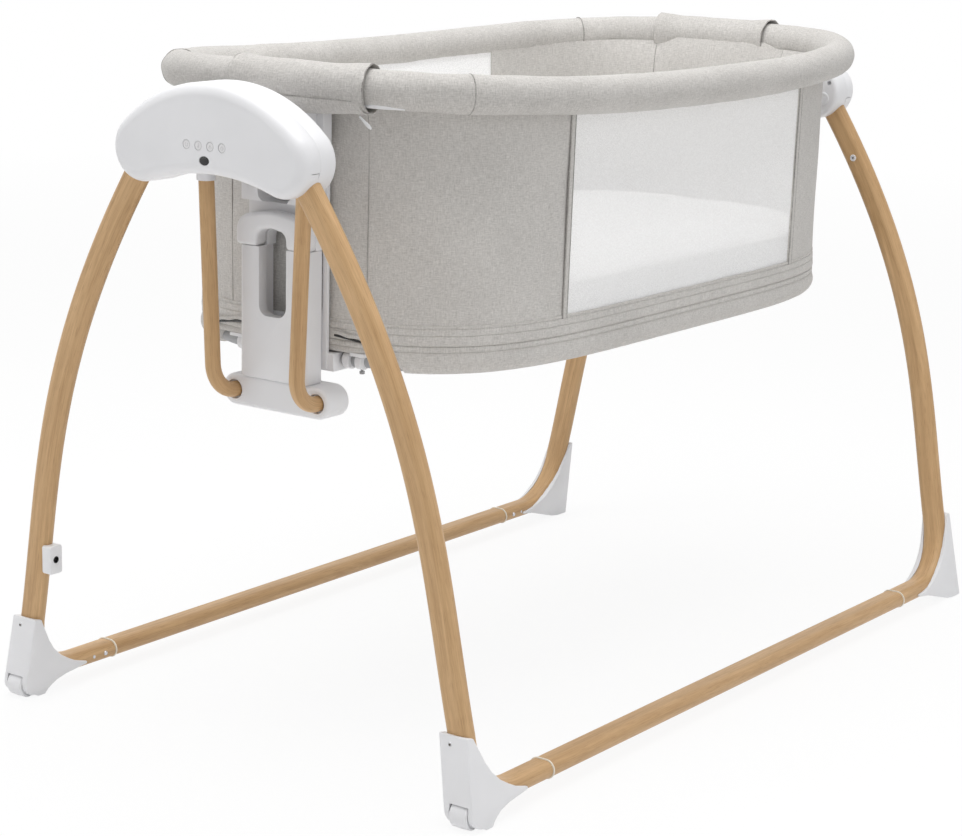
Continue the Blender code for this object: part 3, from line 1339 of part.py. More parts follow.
def floor_ring(up, inset):
    """A level of what lies on the basket's floor, this far in from the shell."""
    ring = []
    half_x = shell_half_x(BASKET_FLOOR_Z) - SHELL_WALL - inset
    half_y = SHELL_END_Y - SHELL_WALL - inset
    for turn in shell_turns():
        across, along = plan_point(turn, half_x, half_y, WALL_SIDE_POWER, WALL_END_POWER)
        ring.append(Vector((across, along, up)))
    return ring


def make_base_board(basket):
    """The stiff board that the basket's floor is stretched over."""
    low = BASKET_FLOOR_Z + GAP
    inset = MATTRESS_ROOM / 2
    shape = lofted([floor_ring(low, inset), floor_ring(low + BOARD_TALL, inset)])
    add_piece("base_board", shape, FIBRE_BOARD, basket)


def make_mattress(basket):
    """The mattress: soft round edges, and a crown that rises to the middle."""
    low = BASKET_FLOOR_Z + BOARD_TALL + 2 * GAP
    rings = []
    for up, inset in MATTRESS_SIDE_SHARES:
        rings.append(floor_ring(low + up * MATTRESS_TALL, MATTRESS_ROOM + inset * MATTRESS_EDGE))
    reach = SHELL_LOW_HALF_X - SHELL_WALL
    for share, rise in MATTRESS_CROWN_SHARES:
        inset = MATTRESS_ROOM + MATTRESS_EDGE + (1 - share) * (reach - MATTRESS_EDGE)
        rings.append(floor_ring(low + MATTRESS_TALL + rise * MATTRESS_CROWN, inset))
    add_piece("mattress", lofted(rings), WHITE_FABRIC, basket)


def make_power_inlet(stand):
    """The inlet box on the inner side of the front left leg, shaped to the tube, and its jack."""
    sign = SIDES["left"]
    leg_x = leg_x_at(INLET_Z)
    out = leg_out(INLET_Z)
    face = sign * (leg_x - TUBE_WIDE / 2 - INLET_PROUD)
    root = sign * (leg_x - TUBE_DEEP / 2)
    low, top = INLET_Z - INLET_TALL / 2, INLET_Z + INLET_TALL / 2
    half = INLET_WIDE / 2
    rings = []
    for x in (root, face):
        corners = ((-half, low), (half, low), (half, top), (-half, top))
        rings.append([at(x, out + along, z, "front") for along, z in corners])

    def on_face(edge):
        return on_plane(edge, 0, face)

    shape = bevelled(lofted(rings), on_face, INLET_ROUND, 2)
    box = add_piece("power_inlet", shape, WHITE_PLASTIC, stand)
    combine(box, bpy.data.objects["shape_front_left_leg"])
    inwards = Vector((sign, 0, 0))
    centre = at(face, out, INLET_Z, "front")
    hole = turned([(-OVERRUN, JACK_R + GAP), (JACK_DEPTH, JACK_R + GAP)], centre, inwards, DETAIL_POINTS)
    combine(box, add_cutter("jack_hole", hole))
    jack = turned([(GAP, JACK_R), (JACK_DEPTH - GAP, JACK_R)], centre, inwards, DETAIL_POINTS)
    add_piece("inlet_jack", jack, BLACK_PLASTIC, stand)


def make_stand(stand):
    """Both ends of the stand, the floor rails between them and what the housings hold."""
    for end in ENDS:
        for side in SIDES:
            leg_cutter(end, side)
            make_leg(end, side, stand)
            make_ring(end, side, stand)
            make_snap(end, side, stand)
            make_foot(end, side, stand)
    for side in SIDES:
        make_rail(side, stand)
        make_roller(side, stand)
    front = make_face_cover("front", "motor_housing_face", stand)
    make_controls(front, stand)
    make_back_cover("front", "motor_housing_back", stand)
    make_face_cover("rear", "rear_housing_face", stand)
    make_back_cover("rear", "rear_housing_back", stand)
    make_electronics(stand)
    make_power_inlet(stand)
    for end in ENDS:
        make_bush(end, stand)


def make_swing(swing):
    """The parts that rock: at each end a shaft, a yoke, two hangers, a cross bar and a column."""
    for end in ENDS:
        for side in SIDES:
            hanger_cutter(end, side)
            make_hanger(end, side, swing)
        make_shaft(end, swing)
        make_yoke(end, swing)
        make_crossbar(end, swing)
        make_column(end, swing)


def make_basket(basket):
    """The parts that lift off: carriers, handles, rim, bottom tube, shell, nets, board and mattress."""
    add_cutter("rim", rim_shape(GAP))
    add_cutter("bottom_tube", bottom_tube_shape(GAP))
    for end in ENDS:
        make_carrier(end, basket)
        make_handle(end, basket)
    add_piece("rim", rim_shape(), GREY_FABRIC, basket)
    add_piece("bottom_tube", bottom_tube_shape(), GREY_COATING, basket)
    make_shell(basket)
    for side in SIDES:
        make_net(side, basket)
    make_base_board(basket)
    make_mattress(basket)


def main():
    """Builds the whole crib at rest."""
    clear_scene()
    stand = make_body("stand", (0, 0, 0))
    swing = make_body("swing", (0, 0, PIVOT_Z), stand)
    basket = make_body("basket", (0, 0, COLUMN_TOP_Z), swing)
    make_stand(stand)
    make_swing(swing)
    make_basket(basket)


main()
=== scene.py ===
"""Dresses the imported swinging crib: wood-look tubes, moulded plastic, melange cloth, net windows and bedding.

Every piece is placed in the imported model's own frame: metres, X across the crib, Y along it with the motor housing at
-Y, Z up from the floor.
"""

from __future__ import annotations

import json
import logging
import math
from collections.abc import Callable, Sequence
from dataclasses import dataclass, field
from enum import Enum

import bmesh
import bpy
from mathutils import Matrix, Vector, noise

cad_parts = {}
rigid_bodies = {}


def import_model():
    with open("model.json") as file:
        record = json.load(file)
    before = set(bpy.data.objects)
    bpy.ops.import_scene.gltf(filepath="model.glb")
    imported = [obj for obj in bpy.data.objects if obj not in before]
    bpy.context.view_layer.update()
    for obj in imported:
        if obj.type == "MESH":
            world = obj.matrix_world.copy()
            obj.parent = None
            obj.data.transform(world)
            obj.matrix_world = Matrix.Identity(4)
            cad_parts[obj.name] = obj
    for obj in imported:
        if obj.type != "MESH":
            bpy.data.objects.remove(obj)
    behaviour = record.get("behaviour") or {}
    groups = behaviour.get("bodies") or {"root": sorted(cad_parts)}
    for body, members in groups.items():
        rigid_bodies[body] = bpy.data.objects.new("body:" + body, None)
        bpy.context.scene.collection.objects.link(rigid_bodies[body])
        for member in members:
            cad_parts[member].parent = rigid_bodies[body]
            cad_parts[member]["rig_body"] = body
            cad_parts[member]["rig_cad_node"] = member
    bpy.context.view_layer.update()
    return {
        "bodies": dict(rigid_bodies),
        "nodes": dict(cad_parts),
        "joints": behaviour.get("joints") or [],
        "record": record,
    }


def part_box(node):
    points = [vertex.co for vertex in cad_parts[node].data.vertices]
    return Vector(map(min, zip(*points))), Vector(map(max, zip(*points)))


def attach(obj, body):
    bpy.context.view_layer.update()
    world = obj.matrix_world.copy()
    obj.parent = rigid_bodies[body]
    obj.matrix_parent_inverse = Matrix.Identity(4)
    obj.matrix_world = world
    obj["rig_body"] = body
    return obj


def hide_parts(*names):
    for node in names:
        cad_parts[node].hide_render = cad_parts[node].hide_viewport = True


log = logging.getLogger("crib")

Ring = list[Vector]


class End(Enum):
    """An end of the crib, with the sign of its Y."""

    FRONT = -1
    REAR = 1

    @property
    def word(self) -> str:
        """The end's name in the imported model."""
        return self.name.lower()


class Side(Enum):
    """A side of the crib, with the sign of its X."""

    LEFT = -1
    RIGHT = 1

    @property
    def word(self) -> str:
        """The side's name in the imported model."""
        return self.name.lower()


class Coords(Enum):
    """Where a pattern is read from."""

    PIECE = "Object"
    CLOTH = "UV"


# ---- node materials ----


class Recipe:
    """Lays out one node material, from its coordinates to its Principled shader."""

    def __init__(self, name: str, coords: Coords) -> None:
        """Starts an empty material.

        Args:
            name: The material's name.
            coords: Where its patterns are read from.
        """
        self.material = bpy.data.materials.new(name)
        self.material.use_nodes = True
        self.nodes = self.material.node_tree.nodes
        self.links = self.material.node_tree.links
        self.shader = self.nodes["Principled BSDF"]
        source = self.nodes.new("ShaderNodeTexCoord")
        self.coords = source.outputs[coords.value]

    def scaled(self, scale: tuple[float, float, float], turn: float = 0.0, shift: float = 0.0) -> object:
        """Coordinates stretched for one pattern.

        Args:
            scale: Repeats per metre along each axis.
            turn: A turn about the third axis, in degrees.
            shift: An offset that sets one piece's pattern apart from another's.

        Returns:
            The vector socket.
        """
        mapping = self.nodes.new("ShaderNodeMapping")
        mapping.inputs["Scale"].default_value = scale
        mapping.inputs["Rotation"].default_value = (0.0, 0.0, math.radians(turn))
        mapping.inputs["Location"].default_value = (shift, shift * 0.7, shift * 0.3)
        self.links.new(self.coords, mapping.inputs["Vector"])
        return mapping.outputs["Vector"]

    def noise(self, vector: object, detail: float = 3.0, rough: float = 0.55, distortion: float = 0.0) -> object:
        """Fractal noise.

        Args:
            vector: The coordinates.
            detail: The number of octaves.
            rough: The weight of the finer octaves.
            distortion: How far the pattern is pulled about.

        Returns:
            The value socket, from 0 to 1.
        """
        made = self.nodes.new("ShaderNodeTexNoise")
        made.inputs["Scale"].default_value = 1.0
        made.inputs["Detail"].default_value = detail
        made.inputs["Roughness"].default_value = rough
        made.inputs["Distortion"].default_value = distortion
        self.links.new(vector, made.inputs["Vector"])
        return made.outputs["Fac"]

    def wave(self, vector: object, direction: str = "X", distortion: float = 0.0, rings: bool = False) -> object:
        """Bands or rings.

        Args:
            vector: The coordinates. One band is about 0.3 of a unit.
            direction: The axis that the bands follow one another along.
            distortion: How far the bands waver.
            rings: Rings about the axis rather than bands.

        Returns:
            The value socket, from 0 to 1.
        """
        made = self.nodes.new("ShaderNodeTexWave")
        made.wave_type = "RINGS" if rings else "BANDS"
        if rings:
            made.rings_direction = direction
        else:
            made.bands_direction = direction
        made.inputs["Scale"].default_value = 1.0
        made.inputs["Distortion"].default_value = distortion
        made.inputs["Detail"].default_value = 2.0
        self.links.new(vector, made.inputs["Vector"])
        return made.outputs["Fac"]

    def cells(self, vector: object) -> object:
        """The distance to the nearest point of a scatter.

        Args:
            vector: The coordinates.

        Returns:
            The distance socket.
        """
        made = self.nodes.new("ShaderNodeTexVoronoi")
        made.inputs["Scale"].default_value = 1.0
        made.inputs["Randomness"].default_value = 0.4
        self.links.new(vector, made.inputs["Vector"])
        return made.outputs["Distance"]

    def span(self, value: object, low: float, high: float, to_low: float = 0.0, to_high: float = 1.0) -> object:
        """Stretches a value's range, and holds it at both ends.

        Args:
            value: The socket.
            low: The value that becomes to_low.
            high: The value that becomes to_high.
            to_low: What low becomes.
            to_high: What high becomes.

        Returns:
            The new value socket.
        """
        made = self.nodes.new("ShaderNodeMapRange")
        made.inputs["From Min"].default_value = low
        made.inputs["From Max"].default_value = high
        made.inputs["To Min"].default_value = to_low
        made.inputs["To Max"].default_value = to_high
        self.links.new(value, made.inputs["Value"])
        return made.outputs["Result"]

    def sum_of(self, first: object, second: object, operation: str = "ADD") -> object:
        """Joins two values by arithmetic.

        Args:
            first: A socket or a number.
            second: A socket or a number.
            operation: The Math node's operation.

        Returns:
            The value socket.
        """
        made = self.nodes.new("ShaderNodeMath")
        made.operation = operation
        for index, value in enumerate((first, second)):
            if isinstance(value, (int, float)):
                made.inputs[index].default_value = value
            else:
                self.links.new(value, made.inputs[index])
        return made.outputs["Value"]

    def tint(self, share: object, first: object, second: object) -> object:
        """Goes from one colour to another.

        Args:
            share: The value socket: 0 gives the first colour.
            first: A colour, or a colour socket.
            second: A colour, or a colour socket.

        Returns:
            The colour socket.
        """
        made = self.nodes.new("ShaderNodeMix")
        made.data_type = "RGBA"
        self.links.new(share, made.inputs["Factor"])
        for name, value in (("A", first), ("B", second)):
            slot = next(i for i in made.inputs if i.name == name and i.type == "RGBA")
            if isinstance(value, tuple):
                slot.default_value = value
            else:
                self.links.new(value, slot)
        return next(o for o in made.outputs if o.type == "RGBA")

    def bump(self, height: object, distance: float, strength: float = 1.0) -> None:
        """Raises the surface by a pattern.

        Args:
            height: The value socket.
            distance: The pattern's height, in metres.
            strength: How strongly it shows.
        """
        made = self.nodes.new("ShaderNodeBump")
        made.inputs["Distance"].default_value = distance
        made.inputs["Strength"].default_value = strength
        self.links.new(height, made.inputs["Height"])
        self.links.new(made.outputs["Normal"], self.shader.inputs["Normal"])

    def set(self, **values: object) -> None:
        """Sets or links the shader's sockets, whose names are written with underscores.

        Args:
            values: A number, a colour or a socket for each.
        """
        for word, value in values.items():
            socket = self.shader.inputs[word.replace("_", " ")]
            if isinstance(value, (int, float, tuple)):
                socket.default_value = value
            else:
                self.links.new(value, socket)


def srgb(red: int, green: int, blue: int) -> tuple[float, float, float, float]:
    """A colour as a picture gives it, as Blender's linear one."""
    linear = [(c / 255 / 12.92) if c <= 10 else ((c / 255 + 0.055) / 1.055) ** 2.4 for c in (red, green, blue)]
    return (*linear, 1.0)


@dataclass(frozen=True)
class WoodFilm:
    """The oak-look film on the steel tubes: fibres, growth bands and pores along the tube."""

    name: str = "oak_film"
    light: tuple = srgb(217, 180, 134)
    dark: tuple = srgb(166, 128, 83)
    pore: tuple = srgb(136, 100, 60)
    shift: float = 0.0

    def make(self) -> bpy.types.Material:
        """Lays out the material on the tube's own UV map, in metres: round the tube, then along it."""
        mix = Recipe(self.name, Coords.CLOTH)
        broad = mix.noise(mix.scaled((60, 5.0, 1), shift=self.shift), 4.0, 0.6, 1.2)
        bands = mix.wave(mix.scaled((24, 1.4, 1), shift=self.shift), "X", 9.0)
        fibres = mix.noise(mix.scaled((900, 14, 1), shift=self.shift), 4.0, 0.7)
        pores = mix.noise(mix.scaled((1500, 55, 1), shift=self.shift), 1.0, 0.5)
        tone = mix.sum_of(mix.sum_of(broad, 0.55, "MULTIPLY"), mix.sum_of(bands, 0.06, "MULTIPLY"))
        tone = mix.sum_of(tone, mix.sum_of(fibres, 0.45, "MULTIPLY"))
        colour = mix.tint(mix.span(tone, 0.32, 0.78), self.light, self.dark)
        colour = mix.tint(mix.span(pores, 0.60, 0.75, 0.0, 0.40), colour, self.pore)
        mix.set(Base_Color=colour, Roughness=mix.span(fibres, 0.3, 0.7, 0.40, 0.52))
        mix.set(Specular_IOR_Level=0.4, Coat_Weight=0.12, Coat_Roughness=0.35)
        mix.bump(pores, 0.00008, 0.5)
        return mix.material


@dataclass(frozen=True)
class MouldedPlastic:
    """Injection-moulded plastic with a fine satin texture."""

    name: str
    colour: tuple
    roughness: float = 0.38
    texture: float = 0.00002

    def make(self) -> bpy.types.Material:
        """Lays out the material on Object coordinates."""
        mix = Recipe(self.name, Coords.PIECE)
        grain = mix.noise(mix.scaled((2600, 2600, 2600)), 2.0)
        cloudy = mix.noise(mix.scaled((14, 14, 14)), 2.0)
        darker = tuple(c * 0.955 for c in self.colour[:3]) + (1.0,)
        colour = mix.tint(mix.span(cloudy, 0.3, 0.7), self.colour, darker)
        low, high = self.roughness - 0.04, self.roughness + 0.05
        mix.set(Base_Color=colour, Roughness=mix.span(cloudy, 0.3, 0.7, low, high))
        mix.set(Specular_IOR_Level=0.5)
        mix.bump(grain, self.texture, 0.6)
        return mix.material


@dataclass(frozen=True)
class MelangeCloth:
    """Plain-woven cloth of mixed light and dark yarn, with slubs along both threads."""

    name: str
    light: tuple = srgb(205, 202, 198)
    dark: tuple = srgb(150, 147, 144)
    coords: Coords = Coords.CLOTH
    thread: float = 0.0007

    def make(self) -> bpy.types.Material:
        """Lays out the material, with its threads along the piece's UV map in metres, or along its own axes."""
        mix = Recipe(self.name, self.coords)
        pitch = 1 / self.thread
        weft = mix.noise(mix.scaled((110, 1500, 110)), 3.0, 0.65)
        warp = mix.noise(mix.scaled((1300, 90, 1300)), 3.0, 0.65)
        fleck = mix.noise(mix.scaled((420, 420, 420)), 2.0, 0.6)
        cloud = mix.noise(mix.scaled((9, 9, 9)), 3.0)
        tone = mix.sum_of(mix.sum_of(weft, 0.38, "MULTIPLY"), mix.sum_of(warp, 0.30, "MULTIPLY"))
        tone = mix.sum_of(tone, mix.sum_of(fleck, 0.20, "MULTIPLY"))
        tone = mix.sum_of(tone, mix.sum_of(cloud, 0.12, "MULTIPLY"))
        mix.set(Base_Color=mix.tint(mix.span(tone, 0.40, 0.60), self.dark, self.light))
        over = mix.wave(mix.scaled((pitch * 0.32, pitch * 0.32, pitch * 0.32)), "X")
        under = mix.wave(mix.scaled((pitch * 0.32, pitch * 0.32, pitch * 0.32)), "Y")
        weave = mix.sum_of(mix.sum_of(over, under, "MULTIPLY"), mix.sum_of(tone, 0.8, "MULTIPLY"))
        mix.bump(weave, 0.00025, 0.55)
        mix.set(Roughness=0.92, Specular_IOR_Level=0.2, Sheen_Weight=0.25, Sheen_Roughness=0.5)
        return mix.material


@dataclass(frozen=True)
class NetCloth:
    """Fine white knitted net, open between its threads."""

    name: str = "white_net"
    colour: tuple = srgb(252, 252, 252)
    hole: float = 0.0012

    def make(self) -> bpy.types.Material:
        """Lays out the net's holes on the piece's UV map, in metres."""
        mix = Recipe(self.name, Coords.CLOTH)
        gap = mix.cells(mix.scaled((1 / self.hole, 1 / self.hole, 1)))
        thread = mix.span(gap, 0.28, 0.48, 0.68, 0.92)
        mix.set(Base_Color=self.colour, Roughness=0.8, Specular_IOR_Level=0.2, Alpha=thread)
        mix.set(Sheen_Weight=0.2)
        mix.bump(gap, 0.0002, 0.3)
        return mix.material


@dataclass(frozen=True)
class QuiltedCotton:
    """White knitted cotton with a fine quilted relief."""

    name: str = "quilted_cotton"
    colour: tuple = srgb(246, 245, 243)

    def make(self) -> bpy.types.Material:
        """Lays out the material on Object coordinates."""
        mix = Recipe(self.name, Coords.PIECE)
        knit = mix.noise(mix.scaled((900, 900, 900)), 2.0)
        first = mix.wave(mix.scaled((9.5, 9.5, 0), 45), "X")
        second = mix.wave(mix.scaled((9.5, 9.5, 0), -45), "X")
        quilt = mix.sum_of(mix.span(first, 0.0, 0.35), mix.span(second, 0.0, 0.35), "MULTIPLY")
        shaded = tuple(c * 0.90 for c in self.colour[:3]) + (1.0,)
        mix.set(Base_Color=mix.tint(mix.span(knit, 0.35, 0.65), self.colour, shaded))
        mix.set(Roughness=0.9, Specular_IOR_Level=0.2, Sheen_Weight=0.2)
        mix.bump(mix.sum_of(mix.sum_of(knit, 0.12, "MULTIPLY"), quilt), 0.0012, 0.6)
        return mix.material


@dataclass(frozen=True)
class BareMetal:
    """Plated or wound metal with fine scratches."""

    name: str
    colour: tuple
    roughness: float = 0.28
    metallic: float = 1.0

    def make(self) -> bpy.types.Material:
        """Lays out the material on Object coordinates."""
        mix = Recipe(self.name, Coords.PIECE)
        brushed = mix.noise(mix.scaled((2200, 160, 2200)), 3.0, 0.6)
        low, high = self.roughness - 0.08, self.roughness + 0.10
        mix.set(Base_Color=self.colour, Metallic=self.metallic)
        mix.set(Roughness=mix.span(brushed, 0.3, 0.7, low, high))
        mix.bump(brushed, 0.00002, 0.4)
        return mix.material


@dataclass(frozen=True)
class PowderCoat:
    """Grey powder coating with its orange-peel surface."""

    name: str = "powder_coat"
    colour: tuple = srgb(163, 164, 166)

    def make(self) -> bpy.types.Material:
        """Lays out the material on Object coordinates."""
        mix = Recipe(self.name, Coords.PIECE)
        peel = mix.noise(mix.scaled((700, 700, 700)), 2.0)
        mix.set(Base_Color=self.colour, Roughness=mix.span(peel, 0.3, 0.7, 0.42, 0.55))
        mix.set(Specular_IOR_Level=0.45)
        mix.bump(peel, 0.00006, 0.5)
        return mix.material


WHITE = MouldedPlastic("white_plastic", srgb(233, 233, 235), 0.36)
WARM_WHITE = MouldedPlastic("warm_white_plastic", srgb(230, 229, 230), 0.42)
CREAM = MouldedPlastic("cream_plastic", srgb(236, 228, 212), 0.45)
BLACK = MouldedPlastic("black_plastic", srgb(30, 30, 31), 0.25)
INK = MouldedPlastic("grey_print", srgb(188, 188, 189), 0.6)
# Painted shade: a dark brown for small discs that stand in for the shade inside screw sockets.
SHADE = MouldedPlastic("dark_recess", srgb(70, 62, 52), 0.7)
BUSH = MouldedPlastic("acetal", srgb(217, 217, 214), 0.35)
GREEN = MouldedPlastic("board_green", srgb(40, 95, 62), 0.5)
FIBRE = MouldedPlastic("hardboard", srgb(152, 128, 100), 0.85, 0.0001)
STEEL = BareMetal("bright_steel", srgb(200, 200, 202))
COPPER = BareMetal("copper_wire", srgb(190, 115, 70), 0.35)
WALL_CLOTH = MelangeCloth("wall_cloth", srgb(222, 219, 215), srgb(184, 181, 177))
RIM_CLOTH = MelangeCloth("rim_cloth", srgb(218, 215, 211), srgb(174, 171, 167))
# SEAM_CLOTH: darker cloth for seams, hems and cuffs. Under the rim and above the sleeves' inner hems it is partly
# painted shade.
SEAM_CLOTH = MelangeCloth("seam_cloth", srgb(190, 187, 183), srgb(132, 129, 126), Coords.PIECE)
NET = NetCloth()
COTTON = QuiltedCotton()
COATING = PowderCoat()


class Wardrobe:
    """Makes each finish once, and hands out its material."""

    def __init__(self) -> None:
        """Starts with nothing made."""
        self.made: dict[object, bpy.types.Material] = {}

    def __call__(self, finish: object) -> bpy.types.Material:
        """The material of a finish."""
        if finish not in self.made:
            self.made[finish] = finish.make()
        return self.made[finish]


WARDROBE = Wardrobe()


# ---- modelling helpers ----


def deselect() -> None:
    """Leaves nothing selected, in Object mode."""
    if bpy.context.object is not None and bpy.context.object.mode != "OBJECT":
        bpy.ops.object.mode_set(mode="OBJECT")
    bpy.ops.object.select_all(action="DESELECT")


def activate(piece: bpy.types.Object) -> None:
    """Makes one piece the only selected and active one."""
    deselect()
    piece.select_set(True)
    bpy.context.view_layer.objects.active = piece


def apply_modifier(piece: bpy.types.Object, kind: str, **settings: object) -> None:
    """Adds a modifier, sets it and applies it.

    Args:
        piece: The piece that it works on.
        kind: The modifier's type.
        settings: Its settings by name.
    """
    activate(piece)
    modifier = piece.modifiers.new(kind.lower(), kind)
    for word, value in settings.items():
        setattr(modifier, word, value)
    bpy.ops.object.modifier_apply(modifier=modifier.name)


def rounded(piece: bpy.types.Object, width: float, segments: int = 3, angle: float = 35.0) -> None:
    """Rounds a piece's sharp edges.

    Args:
        piece: The piece.
        width: The rounding, in metres.
        segments: The faces across it.
        angle: The least angle of an edge that is rounded, in degrees.
    """
    apply_modifier(
        piece, "BEVEL", width=width, segments=segments, limit_method="ANGLE",
        angle_limit=math.radians(angle), use_clamp_overlap=True, harden_normals=False,
    )


def carved(piece: bpy.types.Object, tool: bpy.types.Object, operation: str = "DIFFERENCE") -> None:
    """Cuts a tool out of a piece, or joins it on, and removes the tool."""
    apply_modifier(piece, "BOOLEAN", operation=operation, solver="EXACT", object=tool)
    bpy.data.objects.remove(tool, do_unlink=True)


def tidied(piece: bpy.types.Object, merge: float = 0.00001) -> None:
    """Merges a piece's doubles and turns its faces outwards."""
    activate(piece)
    bpy.ops.object.mode_set(mode="EDIT")
    bpy.ops.mesh.select_all(action="SELECT")
    bpy.ops.mesh.remove_doubles(threshold=merge)
    bpy.ops.mesh.normals_make_consistent(inside=False)
    bpy.ops.object.mode_set(mode="OBJECT")


def smoothed(piece: bpy.types.Object, angle: float = 35.0) -> None:
    """Shades a piece smooth, except over edges sharper than the angle."""
    activate(piece)
    bpy.ops.object.shade_smooth_by_angle(angle=math.radians(angle))


def skin(name: str, rows: Sequence[Sequence[Vector]]) -> bpy.types.Object:
    """A grid shaped to rows of points, with a UV map in metres: along the rows, then across them.

    Args:
        name: The piece's name.
        rows: The rows of points, all of one length.

    Returns:
        The new piece, open at its edges.
    """
    columns, count = len(rows[0]) - 1, len(rows) - 1
    deselect()
    bpy.ops.mesh.primitive_grid_add(x_subdivisions=columns, y_subdivisions=count, size=1, calc_uvs=True)
    piece = bpy.context.object
    piece.name = piece.data.name = name
    piece.data.vertices.foreach_set("co", [c for row in rows for point in row for c in point])
    middle = rows[len(rows) // 2]
    across = [0.0]
    for near, far in zip(middle, middle[1:]):
        across.append(across[-1] + (far - near).length)
    along = [0.0]
    for near, far in zip(rows, rows[1:]):
        along.append(along[-1] + max((far[0] - near[0]).length, (far[columns // 2] - near[columns // 2]).length))
    for entry in piece.data.uv_layers[0].data:
        entry.uv = (across[round(entry.uv.x * columns)], along[round(entry.uv.y * count)])
    piece.data.update()
    return piece


def tube(
    name: str, path: Sequence[Vector], section: Callable[[int], Sequence[tuple[float, float]]], hint: Vector,
    closed: bool = False,
) -> bpy.types.Object:
    """A tube of a changing section along a path.

    Args:
        name: The piece's name.
        path: The points of its centre line.
        section: Gives the section at a point's index, as pairs about the centre line, the first along the hint.
        hint: The direction that the section's first axis is kept near.
        closed: Whether the path joins up, so that the tube has no ends.

    Returns:
        The new piece, closed all over.
    """
    rows = []
    for index, point in enumerate(path):
        before = path[index - 1] if closed or index else point
        after = path[(index + 1) % len(path)] if closed or index + 1 < len(path) else point
        along = (after - before).normalized()
        first = (hint - along * hint.dot(along)).normalized()
        second = along.cross(first)
        ring = [point + first * a + second * b for a, b in section(index)]
        rows.append(ring + ring[:1])
    if closed:
        rows.append(rows[0])
    piece = skin(name, rows)
    activate(piece)
    bpy.ops.object.mode_set(mode="EDIT")
    bpy.ops.mesh.select_all(action="SELECT")
    bpy.ops.mesh.remove_doubles(threshold=0.000002)
    if not closed:
        bpy.ops.mesh.select_all(action="DESELECT")
        bpy.ops.mesh.select_non_manifold(extend=False)
        bpy.ops.mesh.fill_holes(sides=0)
    bpy.ops.mesh.select_all(action="SELECT")
    bpy.ops.mesh.normals_make_consistent(inside=False)
    bpy.ops.object.mode_set(mode="OBJECT")
    smoothed(piece)
    return piece


def round_section(radius: float, points: int = 24) -> list[tuple[float, float]]:
    """A circle as pairs about its centre."""
    turns = [2 * math.pi * index / points for index in range(points)]
    return [(radius * math.cos(turn), radius * math.sin(turn)) for turn in turns]


def oval_section(wide: float, deep: float, points: int = 32) -> list[tuple[float, float]]:
    """A flat oval as pairs about its centre: two half circles and the flats between them."""
    radius, flat, half = deep / 2, (wide - deep) / 2, points // 2
    outline = []
    for side in (1, -1):
        for step in range(half):
            turn = math.pi * step / (half - 1) - math.pi / 2
            outline.append((side * (flat + radius * math.cos(turn)), side * radius * math.sin(turn)))
    return outline


def slab(name: str, outline: Sequence[Vector], depth: Vector) -> bpy.types.Object:
    """A filled outline extruded to a slab.

    Args:
        name: The piece's name.
        outline: The outline's points, in one plane.
        depth: The way and the distance that it is extruded.

    Returns:
        The new piece, closed all over.
    """
    deselect()
    bpy.ops.mesh.primitive_circle_add(vertices=len(outline), radius=1, fill_type="NGON")
    piece = bpy.context.object
    piece.name = piece.data.name = name
    piece.data.vertices.foreach_set("co", [c for point in outline for c in point])
    bpy.ops.object.mode_set(mode="EDIT")
    bpy.ops.mesh.select_all(action="SELECT")
    bpy.ops.mesh.extrude_region_move(TRANSFORM_OT_translate={"value": tuple(depth)})
    bpy.ops.mesh.select_all(action="SELECT")
    bpy.ops.mesh.normals_make_consistent(inside=False)
    bpy.ops.object.mode_set(mode="OBJECT")
    return piece


def disc(name: str, centre: Vector, axis: Vector, profile: Sequence[tuple[float, float]], points: int = 24):
    """A turned piece, from pairs of distance along its axis and radius.

    Args:
        name: The piece's name.
        centre: The point that distances are counted from.
        axis: The axis's direction.
        profile: The pairs, from one end to the other.
        points: The faces round it.

    Returns:
        The new piece, closed all over.
    """
    side = axis.orthogonal().normalized()
    other = axis.cross(side)
    rows = []
    for along, radius in profile:
        ring = [centre + axis * along + side * a + other * b for a, b in round_section(radius, points)]
        rows.append(ring + ring[:1])
    piece = skin(name, rows)
    activate(piece)
    bpy.ops.object.mode_set(mode="EDIT")
    bpy.ops.mesh.select_all(action="SELECT")
    bpy.ops.mesh.remove_doubles(threshold=0.000002)
    bpy.ops.mesh.select_all(action="DESELECT")
    bpy.ops.mesh.select_non_manifold(extend=False)
    bpy.ops.mesh.fill_holes(sides=0)
    bpy.ops.mesh.select_all(action="SELECT")
    bpy.ops.mesh.normals_make_consistent(inside=False)
    bpy.ops.object.mode_set(mode="OBJECT")
    return piece


def joined(name: str, pieces: Sequence[bpy.types.Object]) -> bpy.types.Object:
    """Several small repeats as one piece."""
    deselect()
    for piece in pieces:
        piece.select_set(True)
    bpy.context.view_layer.objects.active = pieces[0]
    bpy.ops.object.join()
    made = bpy.context.object
    made.name = made.data.name = name
    return made


def dress(
    piece: bpy.types.Object, finish: object, body: str, replaces: Sequence[str] = (),
) -> bpy.types.Object:
    """Gives a piece its finish and hangs it on its body.

    Args:
        piece: The piece.
        finish: The finish that its material is made from.
        body: The body that it moves with.
        replaces: The CAD nodes that it stands for.

    Returns:
        The piece.
    """
    piece.data.materials.clear()
    piece.data.materials.append(WARDROBE(finish))
    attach(piece, body)
    if replaces:
        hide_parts(*replaces)
    log.info("%s: %d faces on %s", piece.name, len(piece.data.polygons), body)
    return piece


